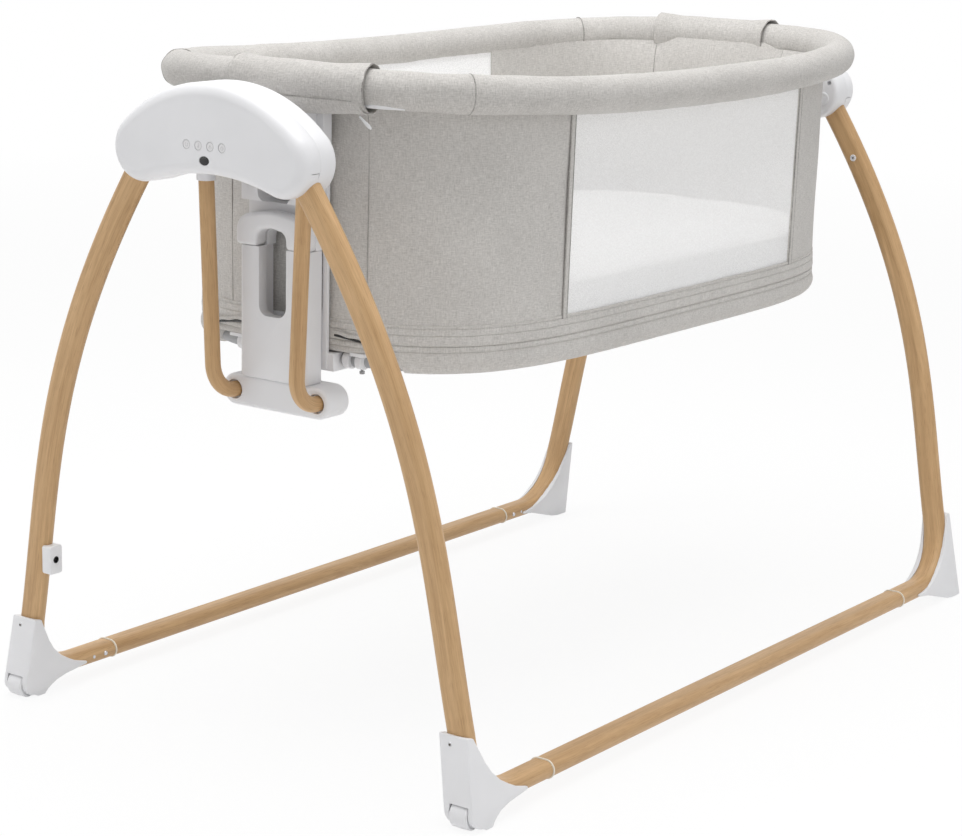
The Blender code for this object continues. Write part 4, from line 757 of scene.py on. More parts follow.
def softened(node: bpy.types.Object, name: str, width: float, segments: int = 3) -> bpy.types.Object:
    """A copy of a CAD solid with its edges rounded, as the mould rounds them.

    Args:
        node: The CAD node.
        name: The new piece's name.
        width: The rounding, in metres.
        segments: The faces across it.

    Returns:
        The new piece.
    """
    activate(node)
    bpy.ops.object.duplicate()
    piece = bpy.context.object
    piece.name = piece.data.name = name
    piece.parent = None
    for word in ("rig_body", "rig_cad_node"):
        if word in piece:
            del piece[word]
    bpy.ops.object.mode_set(mode="EDIT")
    bpy.ops.mesh.select_all(action="SELECT")
    bpy.ops.mesh.remove_doubles(threshold=0.00001)
    bpy.ops.mesh.dissolve_limited(angle_limit=math.radians(2))
    bpy.ops.object.mode_set(mode="OBJECT")
    rounded(piece, width, segments)
    smoothed(piece, 40)
    return piece


# ---- the stand ----


def smooth_line(points: Sequence[Vector], steps: int = 8, closed: bool = False) -> Ring:
    """A smooth curve through points.

    Args:
        points: The points that it passes.
        steps: The pieces between two of them.
        closed: Whether it runs on from the last point to the first.

    Returns:
        The curve's points.
    """
    count = len(points)
    line = []
    for index in range(count if closed else count - 1):
        near, far = points[index], points[(index + 1) % count]
        before = points[index - 1] if closed or index else near
        after = points[(index + 2) % count] if closed or index + 2 < count else far
        for step in range(steps):
            t = step / steps
            line.append(
                0.5 * (
                    2 * near + (far - before) * t + (2 * before - 5 * near + 4 * far - after) * t**2
                    + (3 * near - before - 3 * far + after) * t**3
                )
            )
    if not closed:
        line.append(points[-1].copy())
    return line


def evenly(points: Sequence[Vector], count: int) -> Ring:
    """Points spaced evenly along a closed line."""
    ring = list(points) + [points[0]]
    lengths = [0.0]
    for near, far in zip(ring, ring[1:]):
        lengths.append(lengths[-1] + (far - near).length)
    spaced, index = [], 0
    for step in range(count):
        goal = lengths[-1] * step / count
        while lengths[index + 1] < goal:
            index += 1
        share = (goal - lengths[index]) / max(lengths[index + 1] - lengths[index], 1e-9)
        spaced.append(ring[index].lerp(ring[index + 1], share))
    return spaced


def arc(centre: tuple[float, float], radius: float, start: float, stop: float, steps: int) -> list[tuple[float, float]]:
    """Points along an arc, both ends included.

    Args:
        centre: The arc's centre.
        radius: Its radius.
        start: The angle that it starts at, in radians.
        stop: The angle that it ends at.
        steps: The pieces between.

    Returns:
        The points as pairs.
    """
    turns = [start + (stop - start) * step / steps for step in range(steps + 1)]
    return [(centre[0] + radius * math.cos(turn), centre[1] + radius * math.sin(turn)) for turn in turns]


def rounded_box(half: float, low: float, top: float, corner: float, steps: int = 8) -> list[tuple[float, float]]:
    """A rectangle with round corners, symmetric about zero across, as pairs of across and up."""
    outline = []
    for x_side, z_side, start in ((1, 1, 0), (-1, 1, 1), (-1, -1, 2), (1, -1, 3)):
        centre = (x_side * (half - corner), (top - corner) if z_side > 0 else (low + corner))
        begin = start * math.pi / 2
        outline += arc(centre, corner, begin, begin + math.pi / 2, steps)
    return outline


@dataclass
class StandTubes:
    """The bent legs and the floor rails, with the collars, spring pins and rivets at their joints."""

    wide: float = 0.030
    deep: float = 0.0195
    rail_x: float = 0.3174
    rail_z: float = 0.0248
    joint_y: float = 0.398
    collar: float = 0.0022
    collar_lip: float = 0.0012
    bend_r: float = 0.070
    foot_x: float = 0.3069
    foot_y: float = 0.528
    foot_z: float = 0.0948
    top: tuple[float, float] = (0.0952, 0.660)
    low_pull: tuple[float, float] = (-0.21, 0.178)
    high_pull: tuple[float, float] = (-0.71, 0.248)
    lean: float = 0.031
    bend_steps: int = 20
    leg_steps: int = 56
    pin_from_joint: float = 0.018
    rivet_from_joint: float = 0.037

    def curve(self, share: float) -> Vector:
        """The leg's (x, z) at this share of the way up from the bend."""
        foot, top = Vector((self.foot_x, self.foot_z)), Vector(self.top)
        low = foot + Vector((self.low_pull[0], 1)) * self.low_pull[1]
        high = top - Vector((self.high_pull[0], 1)) * self.high_pull[1]
        rest = 1 - share
        return foot * rest**3 + low * (3 * rest**2 * share) + high * (3 * rest * share**2) + top * share**3

    def out(self, up: float) -> float:
        """How far out along Y the leg stands at this height."""
        return self.foot_y + self.lean * (up - self.foot_z)

    def path(self, end: End, side: Side) -> Ring:
        """The centre line of one leg, from the rail joint to its top."""
        near = self.joint_y + self.collar / 2 + 0.0003
        bend_y = self.foot_y - self.bend_r
        points = []
        for step in range(9):
            out = near + (bend_y - near) * step / 9
            points.append(Vector((side.value * self.rail_x, end.value * out, self.rail_z)))
        for step in range(self.bend_steps + 1):
            turn = math.pi / 2 * step / self.bend_steps
            rise = 1 - math.cos(turn)
            across = self.rail_x - (self.rail_x - self.foot_x) * rise
            out = bend_y + self.bend_r * math.sin(turn)
            points.append(Vector((side.value * across, end.value * out, self.rail_z + self.bend_r * rise)))
        for step in range(1, self.leg_steps + 1):
            across, up = self.curve(step / self.leg_steps)
            points.append(Vector((side.value * across, end.value * self.out(up), up)))
        return points

    def build(self) -> None:
        """Makes the legs, rails, collars, pins and rivets."""
        number = 0
        oval = oval_section(self.wide, self.deep)
        for end in End:
            for side in Side:
                number += 1
                film = WoodFilm(name=f"oak_film_{number}", shift=number * 1.7)
                name = f"{end.word}_{side.word}_leg"
                leg = tube(f"{name}_tube", self.path(end, side), lambda _: oval, Vector((1, 0, 0)))
                dress(leg, film, "stand", [name])
                self.joint(end, side)
        for side in Side:
            number += 1
            reach = self.joint_y - self.collar / 2 - 0.0003
            points = [Vector((side.value * self.rail_x, reach * (s / 20 - 1), self.rail_z)) for s in range(41)]
            rail = tube(f"{side.word}_rail_tube", points, lambda _: oval, Vector((1, 0, 0)))
            film = WoodFilm(name=f"oak_film_{number}", shift=number * 1.7)
            dress(rail, film, "stand", [f"{side.word}_rail"])

    def joint(self, end: End, side: Side) -> None:
        """The collar between a rail and a leg, the spring pin and the rivet beside it."""
        lip, edge = self.collar_lip, 0.0005
        stations = ((-0.5, -edge), (-0.5 + edge / self.collar, 0), (0.5 - edge / self.collar, 0), (0.5, -edge))
        ovals = [oval_section(self.wide + 2 * (lip + cut), self.deep + 2 * (lip + cut)) for _, cut in stations]
        middle = Vector((side.value * self.rail_x, end.value * self.joint_y, self.rail_z))
        points = [middle + Vector((0, share * self.collar, 0)) for share, _ in stations]
        ring = tube(f"{end.word}_{side.word}_collar", points, lambda i: ovals[i], Vector((1, 0, 0)))
        smoothed(ring, 50)
        dress(ring, CREAM, "stand", [f"{end.word}_{side.word}_ring"])
        inwards = Vector((-side.value, 0, 0))
        face, radius = self.wide / 2, 0.00275
        dome = [(face + 0.0002 + radius * 0.65 * math.sin(a), radius * math.cos(a)) for a in (0.0, 0.4, 0.8, 1.2, 1.5)]
        place = middle + Vector((0, end.value * self.pin_from_joint, 0))
        pin = disc(f"{end.word}_{side.word}_pin", place, inwards, [(face - 0.003, radius)] + dome)
        smoothed(pin, 50)
        name = f"{end.word}_{side.word}_snap"
        dress(pin, STEEL, name, [name])
        place = middle + Vector((0, end.value * self.rivet_from_joint, 0))
        profile = [(face - 0.001, 0.0021), (face + 0.0003, 0.0021), (face + 0.0008, 0.0012)]
        head = disc(f"{end.word}_{side.word}_rivet", place, inwards, profile, 14)
        smoothed(head)
        dress(head, STEEL, "stand")


def screw(name: str, centre: Vector, axis: Vector, radius: float = 0.0026) -> bpy.types.Object:
    """A domed cross-head screw.

    Args:
        name: The piece's name.
        centre: The middle of its seat.
        axis: The way that its head faces.
        radius: The head's radius.

    Returns:
        The new piece.
    """
    profile = [(-0.002, radius * 0.9), (0.0, radius)]
    profile += [(radius * 0.42 * math.sin(a), radius * math.cos(a)) for a in (0.35, 0.7, 1.05, 1.35)]
    head = disc(name, centre, axis, profile, 20)
    side = axis.orthogonal().normalized()
    for turn in (0.0, math.pi / 2):
        along = Matrix.Rotation(turn, 3, axis) @ side
        across = axis.cross(along)
        slot = [
            centre + axis * radius * 0.18 + along * radius * a + across * radius * b
            for a, b in ((-0.55, -0.1), (0.55, -0.1), (0.55, 0.1), (-0.55, 0.1))
        ]
        carved(head, slab("shape_slot", slot, axis * radius))
    smoothed(head)
    return head


@dataclass
class Feet:
    """The moulded boots round the bends of the legs, the front ones with a roller in the toe."""

    tubes: StandTubes = field(default_factory=StandTubes)
    wall: float = 0.0033
    edge: float = 0.0025
    front_tip: tuple[float, float] = (-0.0790, 0.0240)
    rear_tip: tuple[float, float] = (-0.0900, 0.0240)
    tip_depth: float = 0.0030
    front_top: float = 0.0985
    front_top_reach: float = 0.0138
    front_reach: float = 0.0190
    roller_reach: float = 0.0217
    front_heel: float = 0.0035
    front_under: tuple = ((-0.0135, 0.0), (-0.0180, 0.0050), (-0.0235, 0.0090), (-0.0310, 0.0130), (-0.0450, 0.0168))
    front_over: tuple = (
        (-0.0610, 0.0290), (-0.0480, 0.0355), (-0.0340, 0.0438), (-0.0215, 0.0550), (-0.0120, 0.0680), (-0.0045, 0.0815),
        (0.0035, 0.0965),
    )
    rear_under: tuple = (
        (0.0040, 0.0), (-0.0120, 0.0022), (-0.0300, 0.0072), (-0.0480, 0.0125), (-0.0680, 0.0182),
    )
    rear_over: tuple = (
        (-0.0800, 0.0248), (-0.0650, 0.0275), (-0.0510, 0.0330), (-0.0380, 0.0402), (-0.0270, 0.0488), (-0.0180, 0.0583),
        (-0.0100, 0.0708), (-0.0045, 0.0850), (0.0000, 0.0980), (0.0030, 0.1110),
    )
    toe_r: float = 0.0165
    toe_lift: float = 0.003
    rear_top: float = 0.112
    rear_top_reach: float = 0.0113
    rear_sole_reach: float = 0.0230
    roller_r: float = 0.0152
    roller_half: float = 0.0113
    slot_room: float = 0.0018
    side_room: float = 0.0008

    def across(self, up: float) -> float:
        """The middle of a foot at this height, as its leg leans."""
        tubes = self.tubes
        return tubes.rail_x - (tubes.rail_x - tubes.foot_x) / tubes.bend_r * (up - tubes.rail_z)

    def outline(self, end: End) -> list[tuple[float, float]]:
        """Side view of a foot, as distance out and height."""
        tubes = self.tubes
        if end is End.FRONT:
            face, top = tubes.foot_y + self.front_reach, self.front_top
            toe = (face - self.toe_r, self.toe_lift + self.toe_r)
            shape = [(tubes.foot_y + self.front_top_reach, top)] + arc(toe, self.toe_r, 0, -math.pi / 2, 12)
            shape += [(tubes.foot_y - self.front_heel, 0.0)]
            under, over, tip = self.front_under, self.front_over, self.front_tip
        else:
            shape = [(tubes.foot_y + self.rear_top_reach, self.rear_top), (tubes.foot_y + self.rear_sole_reach, 0.0)]
            under, over, tip = self.rear_under, self.rear_over, self.rear_tip
        shape += [(tubes.foot_y + out, up) for out, up in under]
        shape += [(tubes.foot_y + tip[0], tip[1] - self.tip_depth), (tubes.foot_y + tip[0], tip[1])]
        return shape + [(tubes.foot_y + out, up) for out, up in over]

    def boot(self, end: End, side: Side) -> bpy.types.Object:
        """One foot: its outline given a width, rounded, and hollowed for the leg."""
        half = self.tubes.wide / 2 + self.wall
        outline = [
            Vector((side.value * self.across(up) - half, end.value * out, up)) for out, up in self.outline(end)
        ]
        foot = slab(f"{end.word}_{side.word}_boot", outline, Vector((2 * half, 0, 0)))
        rounded(foot, self.edge, 4, 50)
        tubes = self.tubes
        room = oval_section(tubes.wide + 0.0008, tubes.deep + 0.0008)
        path = tubes.path(end, side)[2:50]
        carved(foot, tube("shape_leg", path, lambda _: room, Vector((1, 0, 0))))
        return foot

    def roller_at(self, side: Side) -> Vector:
        """The middle of a front foot's roller."""
        up = self.roller_r + 0.0003
        out = self.tubes.foot_y + self.roller_reach - self.roller_r
        return Vector((side.value * self.across(up), End.FRONT.value * out, up))

    def build(self) -> None:
        """Makes the four feet, their screws and the two rollers."""
        for end in End:
            for side in Side:
                foot = self.boot(end, side)
                if end is End.FRONT:
                    self.fit_roller(foot, side)
                smoothed(foot, 40)
                name = f"{end.word}_{side.word}_foot"
                dress(foot, WHITE, "stand", [name])
                self.fix(end, side)

    def fit_roller(self, foot: bpy.types.Object, side: Side) -> None:
        """Cuts the toe's slot and sets the roller in it."""
        centre = self.roller_at(side)
        radius, half = self.roller_r + self.slot_room, self.roller_half + self.side_room
        outline = arc((-centre.y, centre.z), radius, math.pi * 0.26, 3 * math.pi / 2, 28)
        front = self.tubes.foot_y + self.front_reach + 0.01
        outline += [(front, centre.z - radius), (front, centre.z + radius * 0.70)]
        shape = [Vector((centre.x - half, -out, up)) for out, up in outline]
        carved(foot, slab("shape_slot", shape, Vector((2 * half, 0, 0))))
        edge = 0.0015
        profile = [(-half - 0.003, 0.003), (-self.roller_half, 0.003), (-self.roller_half, 0.0085)]
        profile += [(-self.roller_half + 0.0008, 0.0095), (-self.roller_half + 0.0008, self.roller_r - 0.0030)]
        profile += [(-self.roller_half, self.roller_r - 0.0022), (-self.roller_half + edge, self.roller_r - 0.0004)]
        profile += [(0.0, self.roller_r)]
        profile += [(-along, across) for along, across in profile[-2::-1]]
        wheel = disc(f"{side.word}_wheel", centre, Vector((1, 0, 0)), profile, 48)
        smoothed(wheel, 40)
        dress(wheel, WHITE, f"{side.word}_roller", [f"{side.word}_roller"])

    def fix(self, end: End, side: Side) -> None:
        """The screw through the foot's outer face into the leg, with a dark disc on its head as painted shade in its
        socket.
        """
        top, reach = (self.front_top, self.front_top_reach) if end is End.FRONT else (self.rear_top, self.rear_top_reach)
        slope = (self.front_reach - reach) if end is End.FRONT else (self.rear_sole_reach - reach)
        up = top - 0.010
        out = self.tubes.foot_y + reach + slope * 0.010 / top - 0.0003
        middle = Vector((side.value * self.across(up) - 0.0045, end.value * out, up))
        way = Vector((0, end.value, 0))
        head = screw(f"{end.word}_{side.word}_foot_screw", middle, way, 0.0028)
        dress(head, STEEL, "stand")
        # Painted shade: a dark disc on the screw's head stands in for the shade inside its socket.
        socket = disc(f"{end.word}_{side.word}_foot_socket", middle, way, [(0.0008, 0.0013), (0.0013, 0.0013)], 16)
        dress(socket, SHADE, "stand")


@dataclass
class Housings:
    """The bean-shaped housings at both tops, each of an outer and an inner cover, and the motor's controls."""

    lobe_x: float = 0.096
    lobe_z: float = 0.657
    lobe_r: float = 0.036
    rise: float = 0.074
    dip: float = 0.020
    depth: float = 0.0536
    split_y: float = 0.54543
    face_round: float = 0.013
    back_round: float = 0.006
    seam: float = 0.00006
    pivot_z: float = 0.702
    button_r: float = 0.0050
    button_pitch: float = 0.0161
    button_up: float = 0.010
    lens: tuple[float, float] = (0.0066, 0.0045)
    lens_down: float = 0.005

    @property
    def face_y(self) -> float:
        """How far out the face stands."""
        return self.split_y + self.depth / 2

    @property
    def back_y(self) -> float:
        """How far out the back stands."""
        return self.split_y - self.depth / 2

    def bean(self, inset: float) -> list[tuple[float, float]]:
        """The housing's outline this far in from its edge: four tangent arcs about fixed centres."""
        x, r, rise, dip = self.lobe_x, self.lobe_r, self.rise, -self.dip
        top_r = (x**2 + rise**2 - r**2) / (2 * (rise - r))
        under_r = (x**2 + dip**2 - r**2) / (2 * (dip + r))
        top_z, under_z = self.lobe_z + rise - top_r, self.lobe_z + dip - under_r
        to_top, to_under = math.atan2(self.lobe_z - top_z, x), math.atan2(self.lobe_z - under_z, x)
        right = arc((x, self.lobe_z), r - inset, to_top, to_under - math.pi, 30)
        under = arc((0, under_z), under_r + inset, to_under, math.pi - to_under, 28)
        left = arc((-x, self.lobe_z), r - inset, -to_under, -math.pi - to_top, 30)
        top = arc((0, top_z), top_r - inset, math.pi - to_top, to_top, 36)
        return right + under[1:-1] + left + top[1:-1]

    def cover(self, name: str, end: End, face: float, into: int, rounding: float) -> bpy.types.Object:
        """One cover as a solid, from its crowned face round its rolled edge to the seam.

        Args:
            name: The piece's name.
            end: The end of the crib.
            face: How far out its face stands.
            into: The way from the face to the seam.
            rounding: The radius of its rolled edge.

        Returns:
            The new piece.
        """
        stations = []
        for step in range(10):
            turn = math.pi / 2 * step / 9
            stations.append((face + into * rounding * (1 - math.cos(turn)), rounding * (1 - math.sin(turn))))
        split = self.split_y - into * 0.00004
        stations += [(split - into * self.seam, 0.0), (split - into * self.seam * 0.3, self.seam * 0.3)]
        stations += [(split, self.seam)]
        inner = [(face + into * 0.0001, rounding + 0.0012), (face - into * 0.0001, rounding + 0.006)]
        stations = inner[::-1] + stations
        rows = []
        for out, inset in stations:
            ring = [Vector((x, end.value * out, z)) for x, z in self.bean(inset)]
            rows.append(ring + ring[:1])
        piece = skin(name, rows)
        activate(piece)
        bpy.ops.object.mode_set(mode="EDIT")
        bpy.ops.mesh.select_all(action="SELECT")
        bpy.ops.mesh.remove_doubles(threshold=0.000002)
        bpy.ops.mesh.select_all(action="DESELECT")
        bpy.ops.mesh.select_non_manifold(extend=False)
        bpy.ops.mesh.fill_holes(sides=0)
        bpy.ops.mesh.select_all(action="SELECT")
        bpy.ops.mesh.normals_make_consistent(inside=False)
        bpy.ops.object.mode_set(mode="OBJECT")
        return piece

    def build(self) -> None:
        """Makes both housings and the controls on the motor's."""
        for end in End:
            words = ("motor_housing", "motor") if end is End.FRONT else ("rear_housing", "rear")
            face = self.cover(f"{words[1]}_outer_cover", end, self.face_y, -1, self.face_round)
            if end is End.FRONT:
                self.cut_controls(face)
            self.cut_keyhole(face, end)
            smoothed(face, 32)
            dress(face, WHITE, "stand", [f"{words[0]}_face"])
            back = self.cover(f"{words[1]}_inner_cover", end, self.back_y, 1, self.back_round)
            self.fit_back(back, end)
            smoothed(back, 32)
            dress(back, WHITE, "stand", [f"{words[0]}_back"])
            for side in Side:
                self.leg_cap(end, side)
        self.controls()

    def button_at(self, index: int) -> Vector:
        """The middle of one button's face."""
        return Vector(((index - 1.5) * self.button_pitch, -self.face_y, self.lobe_z + self.button_up))

    def cut_controls(self, face: bpy.types.Object) -> None:
        """Sinks the buttons' pockets and the receiver's oval one."""
        outwards = Vector((0, -1, 0))
        for index in range(4):
            pocket = disc(
                "shape_pocket", self.button_at(index), outwards,
                [(-0.004, self.button_r + 0.00012), (0.004, self.button_r + 0.00012)], 40,
            )
            carved(face, pocket)
        wide, tall = (size + 0.0003 for size in self.lens)
        middle = self.lobe_z - self.lens_down
        oval = [
            Vector((wide * math.cos(t), -self.face_y + 0.003, middle + tall * math.sin(t)))
            for t in (2 * math.pi * s / 40 for s in range(40))
        ]
        carved(face, slab("shape_lens", oval, Vector((0, -0.01, 0))))

    def cut_keyhole(self, face: bpy.types.Object, end: End) -> None:
        """The shallow latch mark over each leg, in the side of the cover."""
        for side in Side:
            near, far = self.split_y + 0.0008, self.split_y + 0.0125
            low, deep = self.lobe_z - 0.0085, 0.0009
            reach = self.lobe_x + math.sqrt(self.lobe_r**2 - 0.0085**2)
            marks = ((near, far, low, 0.0008), (near, near + 0.0009, low - 0.0045, 0.0045))
            for part, (a, b, height, tall) in enumerate(marks):
                outline = [
                    Vector((side.value * (reach - 0.002 - deep), end.value * y, z))
                    for y, z in ((a, height), (b, height), (b, height + tall), (a, height + tall))
                ]
                carved(face, slab(f"shape_mark_{part}", outline, Vector((side.value * 0.01, 0, 0))))

    def fit_back(self, back: bpy.types.Object, end: End) -> None:
        """Adds the round bosses and sinks the screw recesses and the shaft's hole."""
        into = Vector((0, -end.value, 0))
        for side in Side:
            at_boss = Vector((side.value * 0.1115, end.value * self.back_y, self.lobe_z - 0.0085))
            profile = [(-0.002, 0.0085), (0.0006, 0.0085), (0.0012, 0.0079)]
            carved(back, disc("shape_boss", at_boss, into, profile, 40), "UNION")
            carved(back, disc("shape_ring", at_boss, into, [(0.0004, 0.0050), (0.003, 0.0050)], 32))
            cap = disc("shape_cap", at_boss, into, [(-0.001, 0.0042), (0.0006, 0.0042), (0.0010, 0.0038)], 32)
            carved(back, cap, "UNION")
            recess = Vector((side.value * 0.1195, end.value * self.back_y, self.lobe_z + 0.0125))
            carved(back, disc("shape_recess", recess, into, [(-0.0025, 0.0030), (0.003, 0.0030)], 28))
            head = screw(f"{end.word}_{side.word}_housing_screw", recess - into * 0.0022, into, 0.0026)
            dress(head, STEEL, "stand")
        pivot = Vector((0, end.value * self.back_y, self.pivot_z))
        carved(back, disc("shape_bore", pivot, into, [(-0.012, 0.0108), (0.004, 0.0108)], 48))

    def leg_cap(self, end: End, side: Side, up: float = 0.574) -> None:
        """The white cap with its small screw on a leg's inner face, below the housing, and a dark disc on the screw as
        painted shade in its socket.
        """
        legs = StandTubes()
        path = legs.path(end, side)
        index = min(range(1, len(path) - 1), key=lambda i: abs(path[i].z - up))
        along = (path[index + 1] - path[index - 1]).normalized()
        way = Vector((0, -end.value, 0))
        way = (way - along * way.dot(along)).normalized()
        place = path[index] + way * (legs.deep / 2)
        profile = [(-0.002, 0.0044), (0.0006, 0.0044), (0.0012, 0.0038), (0.0012, 0.0022), (0.0004, 0.0020)]
        cap = disc(f"{end.word}_{side.word}_leg_cap", place, way, profile, 32)
        smoothed(cap, 40)
        dress(cap, WHITE, "stand")
        head = screw(f"{end.word}_{side.word}_leg_screw", place + way * 0.0003, way, 0.0017)
        dress(head, STEEL, "stand")
        # Painted shade: a dark disc on the screw's head stands in for the shade inside its socket.
        socket = disc(f"{end.word}_{side.word}_leg_socket", place, way, [(0.0004, 0.0009), (0.0012, 0.0009)], 16)
        dress(socket, SHADE, "stand")

    def controls(self) -> None:
        """The four buttons with their printed rings and signs, and the receiver's window."""
        outwards = Vector((0, -1, 0))
        for index in range(4):
            centre = self.button_at(index)
            radius = self.button_r
            profile = [(-0.0036, radius), (-0.0005, radius), (-0.0002, radius - 0.0003), (-0.0002, radius - 0.0010)]
            cap = disc(f"button_cap_{index + 1}", centre, outwards, profile, 40)
            smoothed(cap)
            name = f"control_button_{index + 1}"
            dress(cap, WARM_WHITE, name, [name])
            self.print_ring(index, centre)
            self.print_sign(index, centre)
        wide, tall = self.lens
        middle = self.lobe_z - self.lens_down
        rows = []
        for out, share in ((-0.003, 1.0), (-0.0004, 1.0), (0.0, 0.93), (0.0003, 0.7), (0.0005, 0.35)):
            turns = [2 * math.pi * s / 40 for s in range(40)]
            ring = [
                Vector((wide * share * math.cos(t), -self.face_y - out, middle + tall * share * math.sin(t)))
                for t in turns
            ]
            rows.append(ring + ring[:1])
        lens = skin("receiver_lens", rows)
        activate(lens)
        bpy.ops.object.mode_set(mode="EDIT")
        bpy.ops.mesh.select_all(action="SELECT")
        bpy.ops.mesh.remove_doubles(threshold=0.000002)
        bpy.ops.mesh.select_all(action="DESELECT")
        bpy.ops.mesh.select_non_manifold(extend=False)
        bpy.ops.mesh.fill_holes(sides=0)
        bpy.ops.mesh.select_all(action="SELECT")
        bpy.ops.mesh.normals_make_consistent(inside=False)
        bpy.ops.object.mode_set(mode="OBJECT")
        smoothed(lens)
        dress(lens, BLACK, "stand", ["receiver_window"])

    def line(self, points: Sequence[tuple[float, float]], centre: Vector, closed: bool) -> bpy.types.Object:
        """A raised printed line on a button's face, through pairs in millimetres."""
        path = [centre + Vector((x / 1000, -0.00002, z / 1000)) for x, z in points]
        oval = [(0.0001 * a, 0.00021 * b) for a, b in round_section(1, 6)]
        return tube("print", path, lambda _: oval, Vector((0, 1, 0)), closed)

    def print_ring(self, index: int, centre: Vector) -> None:
        """The printed ring near a button's edge."""
        circle = round_section(4.35, 40)
        ring = self.line(circle, centre - Vector((0, -0.0002, 0)), True)
        ring.name = ring.data.name = f"button_ring_{index + 1}"
        dress(ring, INK, f"control_button_{index + 1}")

    def print_sign(self, index: int, centre: Vector) -> None:
        """A generic sign: timer, music, rocking or power."""
        place = centre - Vector((0, -0.0002, 0))
        if index == 0:
            lines = [(arc((0, 0), 1.9, 1.9, 7.2, 18), False)]
        elif index == 1:
            lines = [([(0.7, -1.0), (0.7, 2.0), (-0.6, 1.4)], False), (round_section(0.8, 12), True)]
            lines[1] = ([(x - 0.1, z - 1.2) for x, z in lines[1][0]], True)
        elif index == 2:
            lines = [([(-1.8, -1.2), (0, 1.9), (1.8, -1.2), (-1.8, -1.2)], False), ([(-0.8, 0.1), (0.8, 0.1)], False)]
        else:
            lines = [(arc((0, -0.2), 1.7, 2.2, 7.2, 18), False), ([(0, -0.1), (0, 2.1)], False)]
        parts = [self.line(points, place, closed) for points, closed in lines]
        sign = joined(f"button_sign_{index + 1}", parts)
        dress(sign, INK, f"control_button_{index + 1}")


@dataclass
class PowerInlet:
    """The inlet box on the inner side of the front left leg, with its socket."""

    tubes: StandTubes = field(default_factory=StandTubes)
    up: float = 0.172
    tall: float = 0.033
    wide: float = 0.019
    proud: float = 0.0125
    socket_r: float = 0.0042

    def build(self) -> None:
        """Makes the box, its sunk collar and the pin inside."""
        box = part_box("power_inlet")
        face, root = box[1].x, box[0].x + 0.004
        middle = Vector((face, (box[0].y + box[1].y) / 2, (box[0].z + box[1].z) / 2))
        half_y, half_z = (box[1].y - box[0].y) / 2, (box[1].z - box[0].z) / 2
        outline = [
            Vector((root, middle.y + y, middle.z + z))
            for y, z in rounded_box(half_y, -half_z, half_z, 0.003, 6)
        ]
        case = slab("inlet_case", outline, Vector((face - root, 0, 0)))
        rounded(case, 0.0016, 4, 60)
        outwards = Vector((1, 0, 0))
        carved(case, disc("shape_well", middle, outwards, [(-0.0006, 0.0066), (0.004, 0.0066)], 40))
        carved(case, disc("shape_socket", middle, outwards, [(-0.009, self.socket_r), (0.004, self.socket_r)], 40))
        smoothed(case, 40)
        dress(case, WHITE, "stand", ["power_inlet"])
        collar = [(-0.009, 0.0041), (-0.0007, 0.0041), (-0.0004, 0.0038), (-0.0004, 0.0030), (-0.008, 0.0030)]
        ring = disc("socket_collar", middle, outwards, collar, 32)
        pin = disc("socket_pin", middle, outwards, [(-0.0085, 0.0010), (-0.0022, 0.0010), (-0.0015, 0.0005)], 16)
        socket = joined("inlet_socket", [ring, pin])
        smoothed(socket)
        dress(socket, BLACK, "stand", ["inlet_jack"])


# ---- the swing ----


def loft(name: str, rows: Sequence[Sequence[Vector]]) -> bpy.types.Object:
    """A solid skin through closed rings, capped at both ends.

    Args:
        name: The piece's name.
        rows: The rings, all of one length.

    Returns:
        The new piece.
    """
    piece = skin(name, [list(ring) + [ring[0]] for ring in rows])
    activate(piece)
    bpy.ops.object.mode_set(mode="EDIT")
    bpy.ops.mesh.select_all(action="SELECT")
    bpy.ops.mesh.remove_doubles(threshold=0.000002)
    bpy.ops.mesh.select_all(action="DESELECT")
    bpy.ops.mesh.select_non_manifold(extend=False)
    bpy.ops.mesh.fill_holes(sides=0)
    bpy.ops.mesh.select_all(action="SELECT")
    bpy.ops.mesh.normals_make_consistent(inside=False)
    bpy.ops.object.mode_set(mode="OBJECT")
    return piece


def front_slab(name: str, outline: Sequence[tuple[float, float]], near: float, far: float, end: End):
    """A slab of an (across, up) outline between two distances out at one end of the crib."""
    shape = [Vector((x, end.value * near, z)) for x, z in outline]
    return slab(name, shape, Vector((0, end.value * (far - near), 0)))


